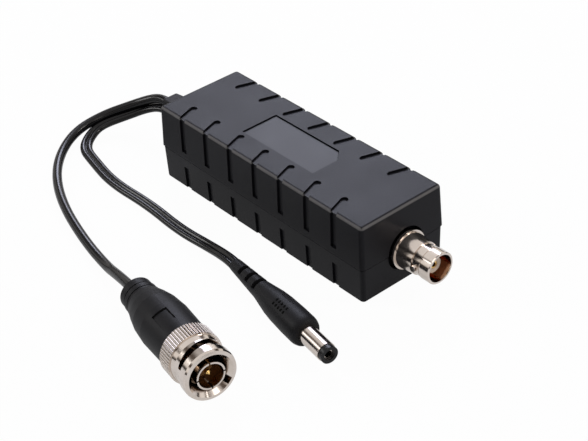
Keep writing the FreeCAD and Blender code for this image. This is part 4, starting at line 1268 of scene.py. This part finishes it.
@dataclass
class Assembly:
    """Nodes of the CAD model that belong together, with the finish of each."""

    coats: dict[str, Coat]
    # Shade painted inside the bores of some nodes, by node name
    shades: dict[str, PaintedBoreShade] = field(default_factory=dict)

    def dress(self, palette: Palette) -> None:
        """Give every node its finish."""
        for name, coat in self.coats.items():
            palette.dress_node(name, coat, self.shades.get(name))

    def names(self) -> list[str]:
        """Names of the nodes."""
        return list(self.coats)


@dataclass
class Housing(Assembly):
    """Two ribbed shells, the bare plate in the top and the screws from below."""

    coats: dict[str, Coat] = field(
        default_factory=lambda: {
            "upper_shell": Coat.SHELL,
            "lower_shell": Coat.SHELL,
            "label_plate": Coat.LABEL,
            "housing_screws": Coat.SCREW,
        }
    )


@dataclass
class BoardStack(Assembly):
    """Circuit board and the parts that stand on it, inside the box."""

    coats: dict[str, Coat] = field(
        default_factory=lambda: {
            "circuit_board": Coat.BOARD,
            "filter_choke": Coat.CHOKE,
            "blocking_capacitor": Coat.FILM_CAPACITOR,
            "smoothing_capacitor": Coat.CAPACITOR,
            "surge_suppressor": Coat.EPOXY,
            "regulator_chip": Coat.EPOXY,
        }
    )


@dataclass
class Jack(Assembly):
    """Bayonet jack in the front end of the box, its bore painted a warm brown in place of the shade and warm
    reflections inside it.
    """

    # Painted shade and painted warm reflection: warm brown inside the jack's bore
    shades: dict[str, PaintedBoreShade] = field(
        default_factory=lambda: {"jack_shell": PaintedBoreShade(JACK_PLACE, 4.4, 0.15, (0.66, 0.37, 0.22))}
    )
    coats: dict[str, Coat] = field(
        default_factory=lambda: {
            "jack_shell": Coat.NICKEL,
            "jack_insulator": Coat.JACK_DIELECTRIC,
            "jack_contact": Coat.GOLD,
        }
    )


@dataclass
class StrainRelief(Assembly):
    """Tapered block that both cords leave from."""

    coats: dict[str, Coat] = field(default_factory=lambda: {"cord_grommet": Coat.BOOT})


@dataclass
class CoaxPlug(Assembly):
    """Bayonet plug: boot, slotted body, pin and the ring with its knurled band."""

    # Painted shade: dark inside the ring's bore, and over the plug body behind its bright front edge
    shades: dict[str, PaintedBoreShade] = field(
        default_factory=lambda: {
            "coupling_ring": PaintedBoreShade(COAX_PLUG_PLACE, 6.95, 1.0, (0.13, 0.09, 0.062)),
            "plug_body": PaintedBoreShade(COAX_PLUG_PLACE, 9.0, 0.5, (0.22, 0.14, 0.085)),
        }
    )
    coats: dict[str, Coat] = field(
        default_factory=lambda: {
            "plug_boot": Coat.BOOT,
            "plug_body": Coat.NICKEL,
            "plug_insulator": Coat.PLUG_DIELECTRIC,
            "plug_pin": Coat.GOLD,
            "plug_gasket": Coat.GASKET,
            "spring_washer": Coat.SPRING,
            "coupling_ring": Coat.NICKEL,
        }
    )
    place: PlugPlace = COAX_PLUG_PLACE
    band_radius: float = 7.65
    band_start: float = 8.45
    band_length: float = 4.9
    ridge_count: int = 56
    ridge_foot: float = 0.76
    ridge_crest: float = 0.5
    ridge_height: float = 0.16
    ridge_sink: float = 0.15
    recess_back: float = 23.2
    recess_front: float = 18.5
    recess_back_radius: float = 7.12
    recess_front_radius: float = 7.22
    recess_turns: tuple[float, float] = (0.0, 36.0)
    # Width of the dark lines of painted shadow in the thumb recess
    shadow_line_width: float = 0.36

    def build_recess_shadow_lines(self, palette: Palette, tree: Tree) -> list[Item]:
        """Dark lines of painted shadow at the foot of the thumb recess, at its back wall and along its upper
        wall.

        Args:
            palette: The finishes.
            tree: Tree of the painted shadow lines.

        Returns:
            The painted shadow lines.
        """
        upper, lower = (-math.radians(turn) for turn in self.recess_turns)
        back = (self.recess_back, self.recess_back_radius)
        front = (self.recess_front, self.recess_front_radius)
        ends = {
            "boot_recess_shadow_back": (back, upper, back, lower),
            "boot_recess_shadow_side": (back, upper, front, upper),
        }
        shadow_lines = []
        for name, (first, first_turn, last, last_turn) in ends.items():
            sizes = {
                "First Setback": first[0],
                "First Radius": first[1],
                "Last Setback": last[0],
                "Last Radius": last[1],
                "Width": self.shadow_line_width,
            }
            turns = {"First Turn": first_turn, "Last Turn": last_turn}
            # Painted shadow: thin lines of dark gasket rubber where the recess walls cast shade
            shadow_line = palette.grow_piece(name, tree, sizes, turns, self.place.matrix(), Coat.GASKET)
            shadow_lines.append(shadow_line)
        return shadow_lines

    def build_knurl(self, palette: Palette, tree: Tree) -> Item:
        """Straight knurl round the back band of the ring, which turns with it.

        Args:
            palette: The finishes.
            tree: Tree of the ridges.

        Returns:
            The knurl.
        """
        sizes = {
            "Radius": self.band_radius,
            "Start": self.band_start,
            "Length": self.band_length,
            "Foot Width": self.ridge_foot,
            "Crest Width": self.ridge_crest,
            "Height": self.ridge_height,
            "Sink": self.ridge_sink,
        }
        others = {"Count": self.ridge_count, "Step": math.tau / self.ridge_count}
        place = self.place.matrix()
        return palette.grow_piece("ring_knurl", tree, sizes, others, place, Coat.NICKEL, Body.RING)


@dataclass
class PowerPlug(Assembly):
    """Barrel plug with its moulded boot, low grip dots on top of the boot and fine ribs beside them."""

    coats: dict[str, Coat] = field(
        default_factory=lambda: {
            "power_sleeve": Coat.NICKEL,
            "power_tip": Coat.TIP,
            "power_inner_contact": Coat.NICKEL,
        }
    )
    place: PlugPlace = POWER_PLUG_PLACE
    boot_outline: tuple[tuple[float, float], ...] = (
        (17.0, 0.0),
        (17.0, 2.55),
        (11.0, 2.55),
        (11.0, 3.75),
        (11.15, 3.95),
        (11.5, 4.15),
        (12.3, 4.4),
        (13.2, 4.5),
        (18.0, 4.5),
        (24.0, 4.3),
        (27.5, 4.0),
        (31.0, 3.45),
        (34.2, 2.95),
        (49.0, 1.95),
        (49.0, 0.0),
    )
    boot_front: float = 18.0
    boot_front_radius: float = 4.5
    boot_back: float = 24.0
    boot_back_radius: float = 4.3
    boot_sides: int = 72
    gap_start: float = 34.4
    gap_width: float = 1.6
    gap_pitch: float = 4.2
    gap_count: int = 3
    gap_depth: float = 1.2
    gap_sweep: float = 130.0
    gap_edge: float = 0.12
    dot_middle: float = 21.0
    dot_rows: int = 5
    dot_columns: int = 2
    dot_row_pitch: float = 1.3
    dot_column_pitch: float = 1.45
    dot_length: float = 0.95
    dot_width: float = 0.6
    dot_height: float = 0.12
    dot_turn: float = 27.0
    rib_count: int = 3
    rib_start: float = 19.0
    rib_length: float = 5.6
    rib_turn: float = 14.0
    rib_step: float = 9.0
    rib_width: float = 0.3
    rib_height: float = 0.12

    def taper(self) -> float:
        """How much smaller the boot's radius gets for each length towards its tail."""
        return (self.boot_front_radius - self.boot_back_radius) / (self.boot_back - self.boot_front)

    def radius_at(self, setback: float) -> float:
        """Radius of the boot some way behind the tip."""
        return self.boot_front_radius - self.taper() * (setback - self.boot_front)

    def outline_radius(self, setback: float) -> float:
        """Radius of the tapering tail some way behind the tip."""
        (near, near_radius), (far, far_radius) = self.boot_outline[-3], self.boot_outline[-2]
        return near_radius + (far_radius - near_radius) * (setback - near) / (far - near)

    def boot_rows(self) -> list[tuple[float, float, float]]:
        """Rows of the boot from its seat round its front to its tail.

        Returns:
            Setback, radius and share of the gaps' depth of each row.
        """
        rows = [(setback, radius, 0.0) for setback, radius in self.boot_outline]
        tail = rows[-2:]
        rows = rows[:-2]
        for index in range(self.gap_count):
            first = self.gap_start + index * self.gap_pitch
            last = first + self.gap_width
            steps = ((first, 0.0), (first + self.gap_edge, 1.0), (last - self.gap_edge, 1.0), (last, 0.0))
            rows += [(setback, self.outline_radius(setback), share) for setback, share in steps]
        return rows + tail

    def build_boot(self, palette: Palette) -> Item:
        """Moulded boot with gaps cut into its tail from above and below.

        Args:
            palette: The finishes.

        Returns:
            The boot, in place of its CAD node.
        """
        mesh = bmesh.new()
        rings = []
        half_sweep = math.radians(self.gap_sweep / 2)
        for setback, radius, share in self.boot_rows():
            ring = []
            for step in range(self.boot_sides):
                angle = math.tau * step / self.boot_sides
                off_upright = abs(math.remainder(angle, math.pi))
                depth = self.gap_depth * share if off_upright < half_sweep else 0.0
                reach = max(radius - depth, 0.0)
                spot = Vector((-setback, reach * math.sin(angle), reach * math.cos(angle))) * MM
                ring.append(mesh.verts.new(spot))
            rings.append(ring)
        join_rings(mesh, rings)
        mesh.transform(self.place.matrix())
        boot = finish_mesh("power_boot_moulded", mesh)
        boot.data.set_sharp_from_angle(angle=math.radians(BOOT_SHARP_ANGLE))
        palette.dress_piece(boot, Coat.BOOT, Body.ADAPTER)
        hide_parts("power_boot")
        return boot

    def build_dots(self, palette: Palette, tree: Tree) -> Item:
        """Two rows of low grip dots on the boot.

        Args:
            palette: The finishes.
            tree: Tree of the dots.

        Returns:
            The dots.
        """
        sizes = {
            "Start": self.dot_middle,
            "Row Pitch": self.dot_row_pitch,
            "Column Pitch": self.dot_column_pitch,
            "Dot Length": self.dot_length,
            "Dot Width": self.dot_width,
            "Dot Height": self.dot_height,
            "Radius": self.radius_at(self.dot_middle),
        }
        others = {
            "Rows": self.dot_rows,
            "Columns": self.dot_columns,
            "Taper": self.taper(),
            "Turn": -math.radians(self.dot_turn),
        }
        place = self.place.matrix()
        return palette.grow_piece("boot_grip_dots", tree, sizes, others, place, Coat.GASKET)

    def build_ribs(self, palette: Palette, tree: Tree) -> Item:
        """Fine ribs along the side of the boot.

        Args:
            palette: The finishes.
            tree: Tree of the ridges.

        Returns:
            The ribs.
        """
        middle = self.rib_start + self.rib_length / 2
        sizes = {
            "Radius": self.radius_at(middle),
            "Start": self.rib_start,
            "Length": self.rib_length,
            "Foot Width": self.rib_width,
            "Crest Width": self.rib_width / 2,
            "Height": self.rib_height,
            "Sink": self.rib_height * 2,
        }
        others = {
            "Count": self.rib_count,
            "Step": -math.radians(self.rib_step),
            "Turn": -math.radians(self.rib_turn),
        }
        place = self.place.matrix()
        return palette.grow_piece("boot_grip_ribs", tree, sizes, others, place, Coat.BOOT)


def main() -> None:
    """Build the studio, the cords and every sub-assembly."""
    logging.basicConfig(level=logging.INFO, format="%(message)s")
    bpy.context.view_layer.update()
    Studio().build()
    palette = Palette()
    coax = CoaxCord()
    coax_jacket = coax.build(palette)
    lead = TwinLead()
    lead_jacket, line = lead.build(palette)
    relief = StrainRelief()
    coax_plug = CoaxPlug()
    power_plug = PowerPlug()
    for assembly in (Housing(), BoardStack(), Jack(), relief, coax_plug, power_plug):
        assembly.dress(palette)
    ridges = ridge_tree()
    knurl = coax_plug.build_knurl(palette, ridges)
    # Dark lines of painted shadow in the thumb recess of the coax plug's boot
    shadow_lines = coax_plug.build_recess_shadow_lines(palette, shadow_line_tree())
    boot = power_plug.build_boot(palette)
    ribs = power_plug.build_ribs(palette, ridges)
    dots = power_plug.build_dots(palette, wrapped_grid_tree())
    shadow_line_names = [shadow_line.name for shadow_line in shadow_lines]
    coax.declare(coax_jacket, [*relief.names(), *coax_plug.names(), knurl.name, *shadow_line_names])
    lead.declare(lead_jacket, line, [boot.name, *power_plug.names(), ribs.name, dots.name])


if __name__ == "__main__":
    main()
